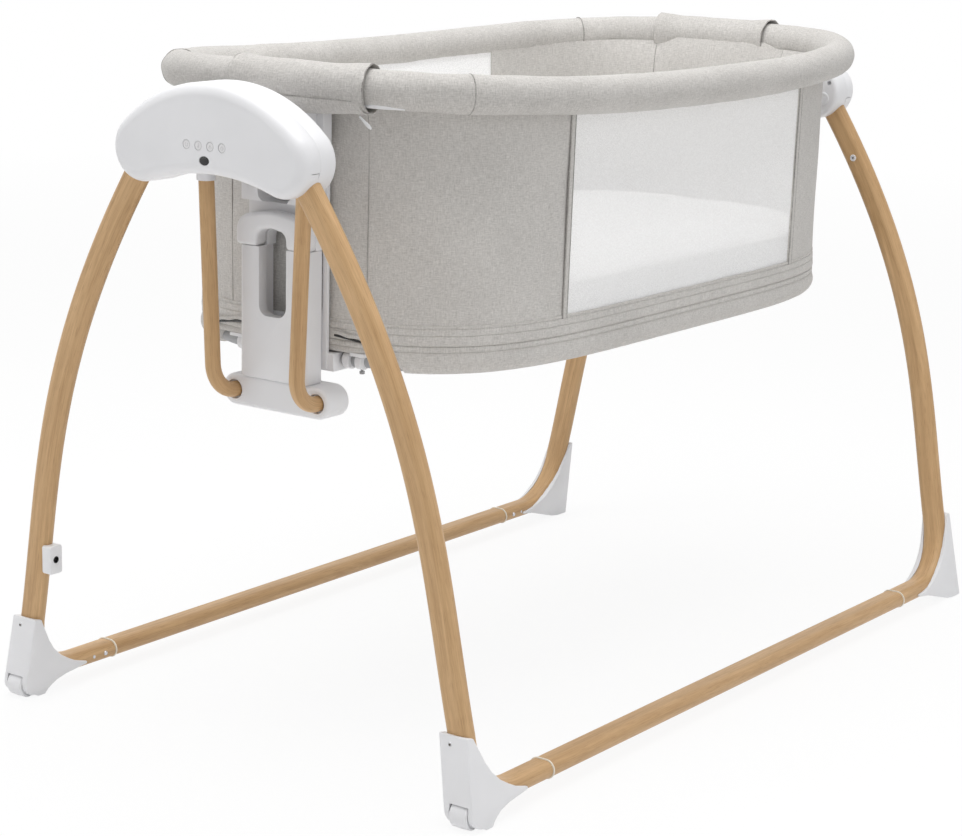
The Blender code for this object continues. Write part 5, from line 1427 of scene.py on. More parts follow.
@dataclass
class SwingGear:
    """What rocks at each end: yoke, hangers, cross bar and column."""

    hanger_y: float = 0.49463
    yoke_near: float = 0.47763
    yoke_far: float = 0.51163
    pivot_z: float = 0.702
    hub_r: float = 0.017
    socket_low: float = 0.628
    socket_deep: float = 0.027
    socket_r: float = 0.0118
    hanger_r: float = 0.0085
    hanger_x: tuple[float, float] = (0.0575, 0.0692)
    bar_z: float = 0.389
    bar_r: float = 0.0175
    bar_deep: float = 0.036
    bar_edge: float = 0.004
    bend_r: float = 0.033
    seat: float = 0.026
    column_half: float = 0.0465
    column_face: float = 0.46613
    column_back: float = 0.43613
    column_low: float = 0.4068
    column_top: float = 0.5498
    window_half: float = 0.0190
    hollow_half: float = 0.0244
    lip: float = 0.013
    window_low: float = 0.4758
    window_round: float = 0.012
    shoulders: tuple = ((0.0, 1.0), (0.15, 0.989), (0.375, 0.879), (0.87, 0.44), (1.0, 0.242))
    arch: tuple = ((1.0, 0.22), (0.80, 0.374), (0.356, 0.527), (0.0, 0.593))

    @property
    def bar_face(self) -> float:
        """How far out the cross bar's face stands."""
        return self.hanger_y - self.bend_r

    def across(self, up: float) -> float:
        """How far across a hanger stands at this height: they draw together on the way down."""
        low, top = self.hanger_x
        share = (up - self.bar_z) / (self.socket_low + self.socket_deep - self.bar_z)
        return low + (top - low) * share

    def hanger_path(self, end: End, side: Side) -> Ring:
        """A hanger's centre line: down from its socket, then round into the cross bar."""
        top, bend_z = self.socket_low + 0.012, self.bar_z + self.bend_r
        points = []
        for step in range(30):
            up = top + (bend_z - top) * step / 30
            points.append((self.across(up), self.hanger_y, up))
        for step in range(21):
            turn = math.pi / 2 * step / 20
            up = bend_z - self.bend_r * math.sin(turn)
            points.append((self.across(up), self.hanger_y - self.bend_r * (1 - math.cos(turn)), up))
        for step in range(1, 5):
            points.append((self.hanger_x[0], self.bar_face - self.seat * step / 4, self.bar_z))
        return [Vector((side.value * x, end.value * y, z)) for x, y, z in points]

    def yoke_outline(self) -> list[tuple[float, float]]:
        """Front view of a yoke, as its smooth right half and its mirror image."""
        wide = self.across(self.socket_low) + self.socket_r
        gap = self.across(self.socket_low) - self.socket_r
        tall = self.pivot_z + self.hub_r - self.socket_low
        outer = [Vector((share * wide, self.socket_low + up * tall)) for share, up in self.shoulders]
        inner = [Vector((share * gap, self.socket_low + up * tall)) for share, up in self.arch]
        mirrored = [Vector((-point.x, point.y)) for point in outer[1:][::-1]]
        crown = smooth_line(mirrored + outer, 6)
        crown = [point for point in crown if point.x >= -1e-6]
        under = smooth_line(inner + [Vector((-point.x, point.y)) for point in inner[::-1][1:]], 6)
        under = [point for point in under if point.x >= -1e-6]
        right = [(p.x, p.y) for p in crown] + [(wide, self.socket_low), (gap, self.socket_low)]
        right += [(p.x, p.y) for p in under]
        left = [(-x, z) for x, z in right[::-1] if x > 1e-5]
        return right + left

    def build(self) -> None:
        """Makes both ends' gear."""
        number = 6
        for end in End:
            for side in Side:
                number += 1
                film = WoodFilm(name=f"oak_film_{number}", shift=number * 1.7)
                round_tube = round_section(self.hanger_r, 32)
                name = f"{end.word}_{side.word}_hanger"
                hanger = tube(f"{name}_tube", self.hanger_path(end, side), lambda _: round_tube, Vector((1, 0, 0)))
                dress(hanger, film, "swing", [name])
            self.yoke(end)
            self.bar(end)
            self.column(end)

    def yoke(self, end: End) -> None:
        """The casting between the shaft and the hangers, with a stepped cap at each socket."""
        yoke = front_slab(f"{end.word}_yoke_casting", self.yoke_outline(), self.yoke_near, self.yoke_far, end)
        rounded(yoke, 0.0032, 4, 45)
        for side in Side:
            foot = self.socket_low
            place = Vector((side.value * self.across(foot), end.value * self.hanger_y, foot))
            down = Vector((0, 0, -1))
            cap = disc("cap", place, down, [(-0.004, 0.0102), (0.0086, 0.0102), (0.0091, 0.0097)], 40)
            carved(yoke, cap, "UNION")
            carved(yoke, disc("shape_mouth", place, down, [(-0.008, 0.0090), (0.012, 0.0090)], 40))
        smoothed(yoke, 38)
        dress(yoke, WHITE, "swing", [f"{end.word}_yoke"])

    def bar(self, end: End) -> None:
        """The pill-shaped cross bar, with a sunk mouth round each hanger."""
        far, near, edge = self.bar_face, self.bar_face - self.bar_deep, self.bar_edge
        stations = []
        for step in range(7):
            turn = math.pi / 2 * step / 6
            stations.append((near + edge * (1 - math.cos(turn)), edge * (1 - math.sin(turn))))
        stations += [(far - out + near, inset) for out, inset in stations[::-1]]
        rows = []
        for out, inset in stations:
            radius, x = self.bar_r - inset, self.hanger_x[0]
            pill = arc((x, self.bar_z), radius, -math.pi / 2, math.pi / 2, 20)
            pill += arc((-x, self.bar_z), radius, math.pi / 2, 3 * math.pi / 2, 20)
            rows.append([Vector((a, end.value * out, b)) for a, b in pill])
        bar = loft(f"{end.word}_cross_bar", rows)
        for side in Side:
            mouth = Vector((side.value * self.hanger_x[0], end.value * far, self.bar_z))
            profile = [(-0.005, 0.0105), (-0.0006, 0.0105), (0.0001, 0.0112), (0.004, 0.0112)]
            carved(bar, disc("shape_mouth", mouth, Vector((0, end.value, 0)), profile, 40))
        smoothed(bar, 35)
        dress(bar, WHITE, "swing", [f"{end.word}_crossbar"])

    def column(self, end: End) -> None:
        """The upright moulding with its round-bottomed window, the hollow behind its lip and a slot at each side."""
        far, near, half = self.column_face, self.column_back, self.column_half
        middle = (near + far) / 2
        corners = rounded_box(half, middle - (far - near) / 2, middle + (far - near) / 2, 0.006, 8)
        rows = []
        for up, inset in ((0.0, 0.0012), (0.0004, 0.0004), (0.0012, 0.0), (1.0, 0.0)):
            up = self.column_low + up if up < 1 else self.column_top - 0.0012
            rows.append([self.pulled(x, y, middle, half, inset, up, end) for x, y in corners])
        for drop, inset in ((0.0004, 0.0004), (0.0, 0.0012)):
            rows.append([self.pulled(x, y, middle, half, inset, self.column_top - drop, end) for x, y in corners])
        column = loft(f"{end.word}_column_moulding", rows)
        window = rounded_box(self.window_half, self.window_low, self.column_top + 0.03, self.window_round, 10)
        carved(column, front_slab("shape_window", window, near - 0.01, far + 0.01, end))
        hollow = rounded_box(self.hollow_half, self.window_low - 0.006, self.column_top + 0.03, 0.006, 6)
        carved(column, front_slab("shape_hollow", hollow, near - 0.01, far - self.lip, end))
        for side in Side:
            slot = [(side.value * 0.033 + x, z) for x, z in rounded_box(0.0083, self.column_top - 0.03, 0.6, 0.001, 2)]
            carved(column, front_slab("shape_tongue", slot, 0.43813, 0.44973, end))
        rounded(column, 0.0018, 3, 60)
        smoothed(column, 35)
        dress(column, WHITE, "swing", [f"{end.word}_column"])

    @staticmethod
    def pulled(x: float, y: float, middle: float, half: float, inset: float, up: float, end: End) -> Vector:
        """A point of the column's outline, drawn in by an inset."""
        depth = 0.015
        return Vector((x * (1 - inset / half), end.value * (middle + (y - middle) * (1 - inset / depth)), up))


@dataclass
class BasketGear:
    """What carries the basket: carriers, release handles, the bottom tube and its clips."""

    low: float = 0.5501
    handle_half: float = 0.0490
    handle_tall: float = 0.0385
    handle_near: float = 0.45063
    handle_deep: float = 0.0195
    shoulder_r: float = 0.019
    hollow_half: float = 0.0200
    hollow_tall: float = 0.0185
    hollow_r: float = 0.010
    crown: float = 0.004
    tube_r: float = 0.0075
    tube_z: float = 0.4317
    tube_half_x: float = 0.210
    tube_end_y: float = 0.41583

    def build(self, nodes: dict[str, bpy.types.Object]) -> None:
        """Makes both ends' carriers and handles, and the tube under the basket."""
        for end in End:
            carrier = softened(nodes[f"{end.word}_carrier"], f"{end.word}_carrier_moulding", 0.0011, 3)
            dress(carrier, WHITE, "basket", [f"{end.word}_carrier"])
            self.handle(end)
        path = []
        for step in range(1440):
            turn = 2 * math.pi * step / 1440
            across, along = plan_point(turn, self.tube_half_x, self.tube_end_y, 3.2, 4.6)
            path.append(Vector((across, along, self.tube_z)))
        ring = round_section(self.tube_r, 20)
        bottom = tube("bottom_tube_coated", evenly(path, 240), lambda _: ring, Vector((0, 0, 1)), True)
        dress(bottom, COATING, "basket", ["bottom_tube"])
        for end in End:
            for side in Side:
                self.clip(end, side)

    def clip(self, end: End, side: Side) -> None:
        """The collar, the strap clip and the clip's knob on the bottom tube, beside a bracket."""
        across, name = Vector((side.value, 0, 0)), f"{end.word}_{side.word}"
        at_end = self.tube_end_y - 0.0001
        centre = Vector((0, end.value * at_end, self.tube_z))
        r = self.tube_r
        profile = [(0.0622, r - 0.001), (0.0622, r + 0.0016), (0.0628, r + 0.0022), (0.0704, r + 0.0022)]
        collar = disc(f"{name}_tube_collar", centre, across, profile + [(0.0710, r + 0.0016), (0.0710, r - 0.001)], 32)
        smoothed(collar, 40)
        dress(collar, WHITE, "basket")
        strap = disc("strap", centre, across, [(0.0790, r - 0.001), (0.0790, r + 0.0012), (0.0870, r + 0.0012), (0.0870, r - 0.001)], 32)
        box = rounded_box(0.0105, self.tube_z + r - 0.001, self.tube_z + r + 0.0026, 0.0012, 4)
        tab = front_slab("tab", [(side.value * 0.0850 + x, z) for x, z in box], at_end - 0.009, at_end + 0.011, end)
        carved(strap, tab, "UNION")
        strap.name = strap.data.name = f"{name}_tube_clip"
        rounded(strap, 0.0006, 2, 50)
        smoothed(strap, 40)
        dress(strap, WHITE, "basket")
        foot = centre + across * 0.0830 - Vector((0, 0, r))
        knob = disc(f"{name}_clip_knob", foot, Vector((0, 0, -1)), [(-0.001, 0.0016), (0.0028, 0.0016), (0.0030, 0.0029), (0.0056, 0.0029), (0.0062, 0.0023)], 24)
        smoothed(knob, 40)
        dress(knob, COATING, "basket")

    def handle(self, end: End) -> None:
        """The arch-shaped release handle."""
        low = self.low + 0.0003
        top, inner = low + self.handle_tall, low + self.hollow_tall
        shoulder = (self.handle_half - self.shoulder_r, top - self.crown - self.shoulder_r)
        right = [(self.handle_half, low)] + arc(shoulder, self.shoulder_r, 0, math.pi * 0.42, 14)
        crown = smooth_line([Vector(p) for p in (right[-2], right[-1], (0.012, top - 0.0007), (0.0, top))], 5)
        right += [(p.x, p.y) for p in crown[6:-1]]
        left = [(-x, z) for x, z in right[::-1]]
        hollow = (self.hollow_half - self.hollow_r, inner - self.hollow_r)
        inside = [(-self.hollow_half, low)]
        inside += [(-x, z) for x, z in arc(hollow, self.hollow_r, 0, math.pi / 2, 10)]
        outline = right + [(0.0, top)] + left + inside + [(0.0, inner + 0.002)] + [(-x, z) for x, z in inside[::-1]]
        handle = front_slab(f"{end.word}_release_handle", outline, self.handle_near, self.handle_near + self.handle_deep, end)
        rounded(handle, 0.0048, 5, 60)
        smoothed(handle, 35)
        name = f"{end.word}_handle"
        dress(handle, WHITE, name, [name])


def plan_point(turn: float, half_x: float, half_y: float, side_power: float, end_power: float) -> tuple[float, float]:
    """A point of a plan outline that is nearly a rectangle, with bowed sides and round corners.

    Args:
        turn: The angle about the middle, from the right side.
        half_x: The outline's half width.
        half_y: Its half length.
        side_power: How square it is towards its sides.
        end_power: How square it is towards its ends.

    Returns:
        The point across and along.
    """
    cosine, sine = math.cos(turn), math.sin(turn)
    across = math.copysign(half_x * abs(cosine) ** (2 / side_power), cosine)
    along = math.copysign(half_y * abs(sine) ** (2 / end_power), sine)
    return across, along


# ---- the basket ----


@dataclass
class BasketCloth:
    """The sewn basket: padded rim, end sleeves, corner and end panels, net windows and the zipped bottom band."""

    rim_half_x: float = 0.255
    rim_end_y: float = 0.45753
    rim_z: float = 0.7265
    rim_sag: float = 0.0155
    rim_r: float = 0.0205
    sleeve_half_x: float = 0.085
    sleeve_shift: tuple[float, float] = (0.035, -0.020)
    sleeve_r: float = 0.0228
    wall_end_y: float = 0.42833
    wall_low_half: float = 0.231
    wall_top_half: float = 0.237
    low: float = 0.4395
    band_top: float = 0.4735
    window_y: float = 0.243
    window_back: float = 0.0060
    seam_turn: float = math.radians(76.4)
    tucked: float = 0.0180
    thick: float = 0.0024
    columns: int = 90
    levels: int = 44
    rim_points: list[Vector] = field(default_factory=list)
    reaches: dict[float, Vector] = field(default_factory=dict)

    # -- where things lie --

    def rim_height(self, along: float) -> float:
        """The height of the rim's middle line, which dips between its ends."""
        return self.rim_z - self.rim_sag * (1 - (along / self.rim_end_y) ** 2)

    def rim_line(self, count: int = 300) -> Ring:
        """The rim's middle line, evenly spaced, starting at the right side."""
        ring = []
        for step in range(2880):
            across, along = plan_point(2 * math.pi * step / 2880, self.rim_half_x, self.rim_end_y, 3.4, 3.5)
            ring.append(Vector((across, along, self.rim_height(along))))
        return evenly(ring, count)

    def half_x(self, up: float) -> float:
        """The wall's half width at this height."""
        share = (up - self.low) / (self.rim_z - self.rim_r - self.low)
        return self.wall_low_half + (self.wall_top_half - self.wall_low_half) * share

    def wall(self, turn: float, up: float, inset: float = 0.0) -> Vector:
        """A point of the wall, this far in from its outside."""
        across, along = plan_point(turn, self.half_x(up) - inset, self.wall_end_y - inset, 3.2, 4.6)
        return Vector((across, along, up))

    def turn_at(self, along: float) -> float:
        """The turn at which the right wall passes this distance along; the window's rear edge is drawn forward."""
        along -= self.window_back if along > 0.2 else 0.0
        return math.copysign(math.asin((abs(along) / self.wall_end_y) ** 2.3), along)

    def top(self, base: Vector) -> float:
        """Where the wall runs in under the rim, a little higher behind a carrier."""
        return self.rim_height(base.y) - 0.0085 + 0.0075 * self.behind(base)

    @staticmethod
    def behind(base: Vector) -> float:
        """How far a point of the wall lies behind a carrier, from 0 to 1."""
        return min(max((0.086 - abs(base.x)) / 0.022, 0.0), 1.0) if abs(base.y) > 0.3 else 0.0

    def rise(self, turn: float, share: float, inset: float = 0.0, start: float | None = None) -> Vector:
        """A point of the wall between the band and the rim; towards the rim it is drawn out, to end under it.

        Args:
            turn: The turn of its column.
            share: How far up it lies, from 0 at the band to 1 under the rim.
            inset: How far in from the cloth's outside.
            start: The height that the column starts at, if not at the band.

        Returns:
            The point.
        """
        base = self.wall(turn, 0.6)
        low = self.band_top if start is None else start
        up = low + (self.top(base) - low) * share
        point = self.wall(turn, up, inset)
        if share > 0.5:
            blend = (share - 0.5) * 2
            point = point + self.reach(turn) * blend**6
        return point

    def reach(self, turn: float) -> Vector:
        """How far the wall's top must be drawn out here, to end under the rim; each is worked out once."""
        if turn not in self.reaches:
            if not self.rim_points:
                self.rim_points.extend(self.rim_line(400))
            base = self.wall(turn, 0.6)
            rim = min(self.rim_points, key=lambda p: (p.x - base.x) ** 2 + (p.y - base.y) ** 2)
            way = Vector((rim.x - base.x, rim.y - base.y, 0))
            length = max(way.length - self.tucked, 0.0)
            self.reaches[turn] = way.normalized() * min(length, 0.0112 - 0.0020 * self.behind(base))
        return self.reaches[turn]

    def turns(self, start: float, stop: float, count: int) -> list[float]:
        """Turns from one to another, evenly spaced along the wall."""
        fine = [start + (stop - start) * step / 1200 for step in range(1201)]
        points = [self.wall(turn, 0.6) for turn in fine]
        lengths = [0.0]
        for near, far in zip(points, points[1:]):
            lengths.append(lengths[-1] + (far - near).length)
        chosen, index = [], 0
        for step in range(count + 1):
            goal = lengths[-1] * step / count
            while index < 1200 and lengths[index] < goal:
                index += 1
            chosen.append(fine[index])
        return chosen

    # -- pieces --

    def build(self) -> None:
        """Sews the whole basket."""
        self.rim_cover()
        for end in End:
            self.sleeve(end)
            self.end_panel(end)
            for side in Side:
                self.corner_panel(end, side)
        for side in Side:
            self.net(side)
            self.binding(side)
        self.band()
        self.floor()
        self.seams()
        self.side_zips()

    def rim_cover(self) -> None:
        """The padded tube's cover, with fine wrinkles that gather on the inside of the corners."""
        path = self.rim_line(420)
        rows = []
        points = 40
        for index, point in enumerate(path):
            before, after = path[index - 1], path[(index + 1) % len(path)]
            along = (after - before).normalized()
            up = (Vector((0, 0, 1)) - along * along.z).normalized()
            out = along.cross(up)
            turn_in = (path[(index + 6) % len(path)] - point).normalized().cross((point - path[index - 6]).normalized())
            bend = min(abs(turn_in.z) * 7, 1.0)
            ring = []
            for step in range(points):
                angle = 2 * math.pi * step / points
                way = out * math.cos(angle) + up * math.sin(angle)
                place = point + way * self.rim_r
                inner = max(-math.cos(angle), 0.0)
                soft = noise.noise(place * 9) * 0.0010 + noise.noise(place * 31) * 0.0004
                gather = noise.noise(Vector((index * 0.55, math.sin(angle) * 1.2, 3.0)))
                crease = noise.noise(Vector((index * 0.16, angle * 1.6, 7.0)))
                radius = self.rim_r + soft + bend * (inner * 0.0014 * gather + 0.0007 * crease)
                seam = math.exp(-(((angle - math.radians(292)) / 0.055) ** 2))
                ring.append(point + way * (radius - 0.0012 * seam))
            rows.append(ring + ring[:1])
        rows.append(rows[0])
        cover = skin("rim_cover", rows)
        tidied(cover, 0.000002)
        smoothed(cover, 60)
        dress(cover, RIM_CLOTH, "basket", ["rim"])

    def sleeve(self, end: End) -> None:
        """The zipped sleeve round the rim over a carrier, its cuffs a little open at both ends."""
        middle = self.sleeve_shift[0 if end is End.FRONT else 1]
        path = [p for p in self.rim_line(900) if p.y * end.value > 0.2 and abs(p.x - middle) <= self.sleeve_half_x]
        path.sort(key=lambda p: p.x)
        rows, points = [], 44
        for index, point in enumerate(path):
            before, after = path[max(index - 1, 0)], path[min(index + 1, len(path) - 1)]
            along = (after - before).normalized()
            up = (Vector((0, 0, 1)) - along * along.z).normalized()
            out = Vector((0, end.value, 0))
            out = (out - along * out.dot(along)).normalized()
            edge = min(index, len(path) - 1 - index) / 7
            flare = 0.0022 * math.exp(-(edge**2)) + 0.0006
            ring = []
            for step in range(points):
                angle = 2 * math.pi * step / points
                way = out * math.cos(angle) + up * math.sin(angle)
                place = point + way * self.sleeve_r
                fold = noise.noise(Vector((place.x * 26, angle * 0.9, 11.0 + end.value))) * 0.0011
                fold += noise.noise(place * 60) * 0.00035
                puckers = math.exp(-((edge / 1.6) ** 2)) * 0.0005 * math.sin(angle * 17 + index * 0.3)
                lower = math.exp(-(((angle - math.radians(318)) / 0.30) ** 2))
                ridge = 0.0022 * lower * (1 - math.exp(-((edge / 3.0) ** 2)))
                ring.append(point + way * (self.sleeve_r + flare + fold + puckers + ridge))
            rows.append(ring + ring[:1])
        sleeve = skin(f"{end.word}_sleeve", rows)
        tidied(sleeve, 0.000002)
        apply_modifier(sleeve, "SOLIDIFY", thickness=0.0011, offset=-1.0)
        smoothed(sleeve, 60)
        dress(sleeve, RIM_CLOTH, "basket")
        self.cuffs(end, path)
        self.zip_flap(end, path)
        self.inner_piping(end)

    def cuffs(self, end: End, path: Ring) -> None:
        """The dark bound edge at both ends of a sleeve."""
        rings = []
        for index, way in ((0, 1), (len(path) - 1, -1)):
            point = path[index]
            along = (path[index + 3 * way] - point).normalized()
            out = Vector((0, end.value, 0))
            out = (out - along * out.dot(along)).normalized()
            up = along.cross(out)
            radius = self.sleeve_r + 0.0023
            hoop = [
                point + (out * math.cos(a) + up * math.sin(a)) * (radius + 0.0004 * math.sin(a * 9))
                for a in (2 * math.pi * s / 64 for s in range(64))
            ]
            ring = round_section(0.0004 if way > 0 else 0.0008, 8)
            rings.append(tube("cuff", hoop, lambda _, r=ring: r, along, True))
        bound = joined(f"{end.word}_sleeve_cuffs", rings)
        smoothed(bound, 60)
        dress(bound, SEAM_CLOTH, "basket")

    def zip_flap(self, end: End, path: Ring) -> None:
        """The zip flap that hangs along the underside of a sleeve, its sewn edge and its small white pull."""
        rows, edge = [], []
        count = len(path)
        for index, point in enumerate(path):
            share = index / (count - 1)
            drop = 0.0012 + 0.0046 * math.sin(math.pi * min(share * 1.15, 1.0)) ** 0.8 + 0.0014 * share
            out = Vector((0, end.value, 0))
            row = []
            for step in range(22):
                angle = -0.50 - 1.75 * step / 21
                belly = math.sin(math.pi * min(step / 21 * 1.25, 1.0)) ** 0.7
                wave = 0.0007 * noise.noise(Vector((index * 0.11, angle * 2.0, 5.0 + end.value)))
                way = out * math.cos(angle) + Vector((0, 0, 1)) * math.sin(angle)
                row.append(point + way * (self.sleeve_r + 0.0018 + drop * belly + wave))
            rows.append(row)
            edge.append(row[0] + out * 0.0004)
        flap = skin(f"{end.word}_zip_flap", rows)
        apply_modifier(flap, "SOLIDIFY", thickness=0.0010, offset=0.0)
        smoothed(flap, 60)
        dress(flap, RIM_CLOTH, "basket")
        ring = round_section(0.0008, 8)
        seam = tube(f"{end.word}_sleeve_seam", edge[::2], lambda _: ring, Vector((0, end.value, 0)))
        smoothed(seam, 60)
        dress(seam, SEAM_CLOTH, "basket")
        last = path[-1]
        start = last + Vector((-0.006, end.value * 0.012, -self.sleeve_r - 0.0055))
        points = [start + Vector((0.0033 * s, 0.0004 * s * end.value, -0.0022 * s)) for s in range(6)]
        sizes = (0.0011, 0.0012, 0.0016, 0.0021, 0.0022, 0.0012)
        tab = tube(
            f"{end.word}_zip_pull", points,
            lambda i: [(sizes[i] * a, 0.0009 * b) for a, b in round_section(1, 16)], Vector((0, 0, 1)),
        )
        smoothed(tab, 60)
        dress(tab, WHITE, "basket")
        self.inner_tube(end)

    def inner_piping(self, end: End) -> None:
        """The rolled hem along the inside of a sleeve, where the wall is sewn to it, with a dark thread above it that
        is partly painted shade under the sleeve's edge.
        """
        middle = self.sleeve_shift[0 if end is End.FRONT else 1]
        path = [p for p in self.rim_line(900) if p.y * end.value > 0.2 and abs(p.x - middle) <= self.sleeve_half_x + 0.012]
        path.sort(key=lambda p: p.x)
        way = Vector((0, -end.value * math.cos(0.92), -math.sin(0.92)))
        line = [
            point + way * (self.sleeve_r + 0.0018 + 0.0007 * noise.noise(Vector((index * 0.12, 2.0, 8.0))))
            for index, point in enumerate(path[::3])
        ]
        roll, thread = round_section(0.0019, 12), round_section(0.0005, 8)
        piping = tube(f"{end.word}_inner_piping", line, lambda _: roll, Vector((0, 0, 1)))
        smoothed(piping, 60)
        dress(piping, RIM_CLOTH, "basket")
        # Partly painted shade: the dark thread above the hem is its stitching and also stands in for the shade under
        # the sleeve's edge.
        above = [point + Vector((0, 0, 0.0021)) - way * 0.0008 for point in line]
        stitch_and_shade = tube(f"{end.word}_inner_seam", above, lambda _: thread, Vector((0, 0, 1)))
        smoothed(stitch_and_shade, 60)
        dress(stitch_and_shade, SEAM_CLOTH, "basket")

    def inner_tube(self, end: End) -> None:
        """The sliver of white inner tube that shows where the rim's cover is zipped, beside a sleeve."""
        near, far = (-end.value * x for x in (0.108, 0.158))
        low, high = min(near, far), max(near, far)
        path = [p for p in self.rim_line(900) if p.y * end.value > 0.2 and low <= p.x <= high]
        path.sort(key=lambda p: -end.value * p.x)
        way = Vector((0, end.value * math.cos(1.05), -math.sin(1.05)))
        line = [point + way * (self.rim_r - 0.0014) for point in path[::2]]
        sizes = [math.sin(math.pi * (step + 0.4) / (len(line) - 0.2)) ** 0.6 for step in range(len(line))]
        sliver = tube(
            f"{end.word}_inner_tube_sliver", line,
            lambda i: [(0.0044 * sizes[i] * a, 0.0024 * b) for a, b in round_section(1, 16)], -way.cross(Vector((1, 0, 0))),
        )
        smoothed(sliver, 60)
        dress(sliver, WHITE, "basket")

    def panel(self, name: str, turns: Sequence[float], mirrored: int) -> bpy.types.Object:
        """A panel of wall between the band and the rim, with the slight unevenness of stretched cloth.

        Args:
            name: The piece's name.
            turns: The turns of its columns.
            mirrored: The side, as the sign of X.

        Returns:
            The sheet, with no thickness yet.
        """
        rows = []
        for level in range(self.levels + 1):
            share = level / self.levels
            row = []
            for turn in turns:
                point = self.rise(turn, share)
                out = self.wall(turn, 0.6) - self.wall(turn, 0.6, 0.002)
                out.z = 0
                out.normalize()
                sag = math.sin(math.pi * share)
                swell = noise.noise(Vector((turn * 1.6, share * 1.9, 2.0 + mirrored))) * 0.0022 * sag
                crease = noise.noise(Vector((turn * 9, share * 3.0, 6.0 + mirrored))) * 0.0006
                pull = noise.noise(Vector((turn * 30, 1.0, 4.0 + mirrored))) * 0.0008 * (share**6 + (1 - share) ** 8)
                place = point + out * (swell + crease + pull)
                row.append(Vector((place.x * mirrored, place.y, place.z)))
            rows.append(row)
        piece = skin(name, rows)
        activate(piece)
        if mirrored < 0:
            bpy.ops.object.mode_set(mode="EDIT")
            bpy.ops.mesh.select_all(action="SELECT")
            bpy.ops.mesh.flip_normals()
            bpy.ops.object.mode_set(mode="OBJECT")
        return piece

    def corner_panel(self, end: End, side: Side) -> None:
        """A corner panel, from the window's edge round the corner to the end panel."""
        near = self.turn_at(end.value * self.window_y)
        turns = self.turns(near, end.value * self.seam_turn, self.columns)
        if end is End.FRONT:
            turns = turns[::-1]
        name = f"{end.word}_{side.word}_panel"
        piece = self.panel(name, turns, side.value)
        apply_modifier(piece, "SOLIDIFY", thickness=self.thick, offset=-1.0)
        smoothed(piece, 60)
        shell = ["basket_shell"] if (end is End.FRONT and side is Side.RIGHT) else []
        dress(piece, WALL_CLOTH, "basket", shell)

    def end_panel(self, end: End) -> None:
        """The flat panel behind a column."""
        start = end.value * self.seam_turn
        turns = self.turns(start, end.value * math.pi - start, 50)
        if end is End.FRONT:
            turns = turns[::-1]
        piece = self.panel(f"{end.word}_end_panel", turns, 1)
        apply_modifier(piece, "SOLIDIFY", thickness=self.thick, offset=-1.0)
        smoothed(piece, 60)
        dress(piece, WALL_CLOTH, "basket")

    def net(self, side: Side) -> None:
        """A net window, drawn tight between its bindings."""
        turns = self.turns(self.turn_at(-self.window_y - 0.002), self.turn_at(self.window_y + 0.002), 80)
        rows = []
        for level in range(31):
            share = level / 30
            row = []
            for turn in turns:
                point = self.rise(turn, share, 0.0008, self.band_top - 0.001)
                along, up = point.y, point.z
                hollow = 0.0025 * math.sin(math.pi * share) * math.cos(math.pi / 2 * along / self.window_y)
                wave = noise.noise(Vector((along * 14, up * 9, side.value))) * 0.0008
                row.append(Vector((side.value * (point.x - max(hollow + wave, 0.0)), point.y, point.z)))
            rows.append(row)
        net = skin(f"{side.word}_net_panel", rows)
        activate(net)
        if side is Side.LEFT:
            bpy.ops.object.mode_set(mode="EDIT")
            bpy.ops.mesh.select_all(action="SELECT")
            bpy.ops.mesh.flip_normals()
            bpy.ops.object.mode_set(mode="OBJECT")
        smoothed(net, 60)
        dress(net, NET, "basket", [f"{side.word}_net"])

    def binding(self, side: Side) -> None:
        """The sewn binding down both upright edges of a window, and its net hem."""
        strips, hems = [], []
        for sign in (-1, 1):
            for shift, wide in ((0.0035, 0.0062),):
                line = []
                for step in range(33):
                    point = self.rise(self.turn_at(sign * (self.window_y + shift)), step / 32, -0.0009)
                    line.append(Vector((side.value * point.x, point.y, point.z)))
                flat = [(wide / 2 * a, 0.0011 * b) for a, b in oval_unit(24)]
                strips.append(tube("strip", line, lambda _, f=flat: f, Vector((0, 1, 0))))
            for shift in (0.0001, 0.0070):
                line = []
                for step in range(33):
                    point = self.rise(self.turn_at(sign * (self.window_y + shift)), step / 32, -0.0012)
                    line.append(Vector((side.value * point.x, point.y, point.z)))
                ring = round_section(0.0007, 8)
                hems.append(tube("edge", line, lambda _, r=ring: r, Vector((0, 1, 0))))
        strip = joined(f"{side.word}_window_binding", strips)
        smoothed(strip, 60)
        dress(strip, WALL_CLOTH, "basket")
        hem = joined(f"{side.word}_window_seams", hems)
        smoothed(hem, 60)
        dress(hem, SEAM_CLOTH, "basket")

    def loop(self, up: float, out: float, count: int = 300) -> Ring:
        """A level line round the outside of the wall, this far out from it."""
        return evenly([self.wall(2 * math.pi * step / 2880, up, -out) for step in range(2880)], count)

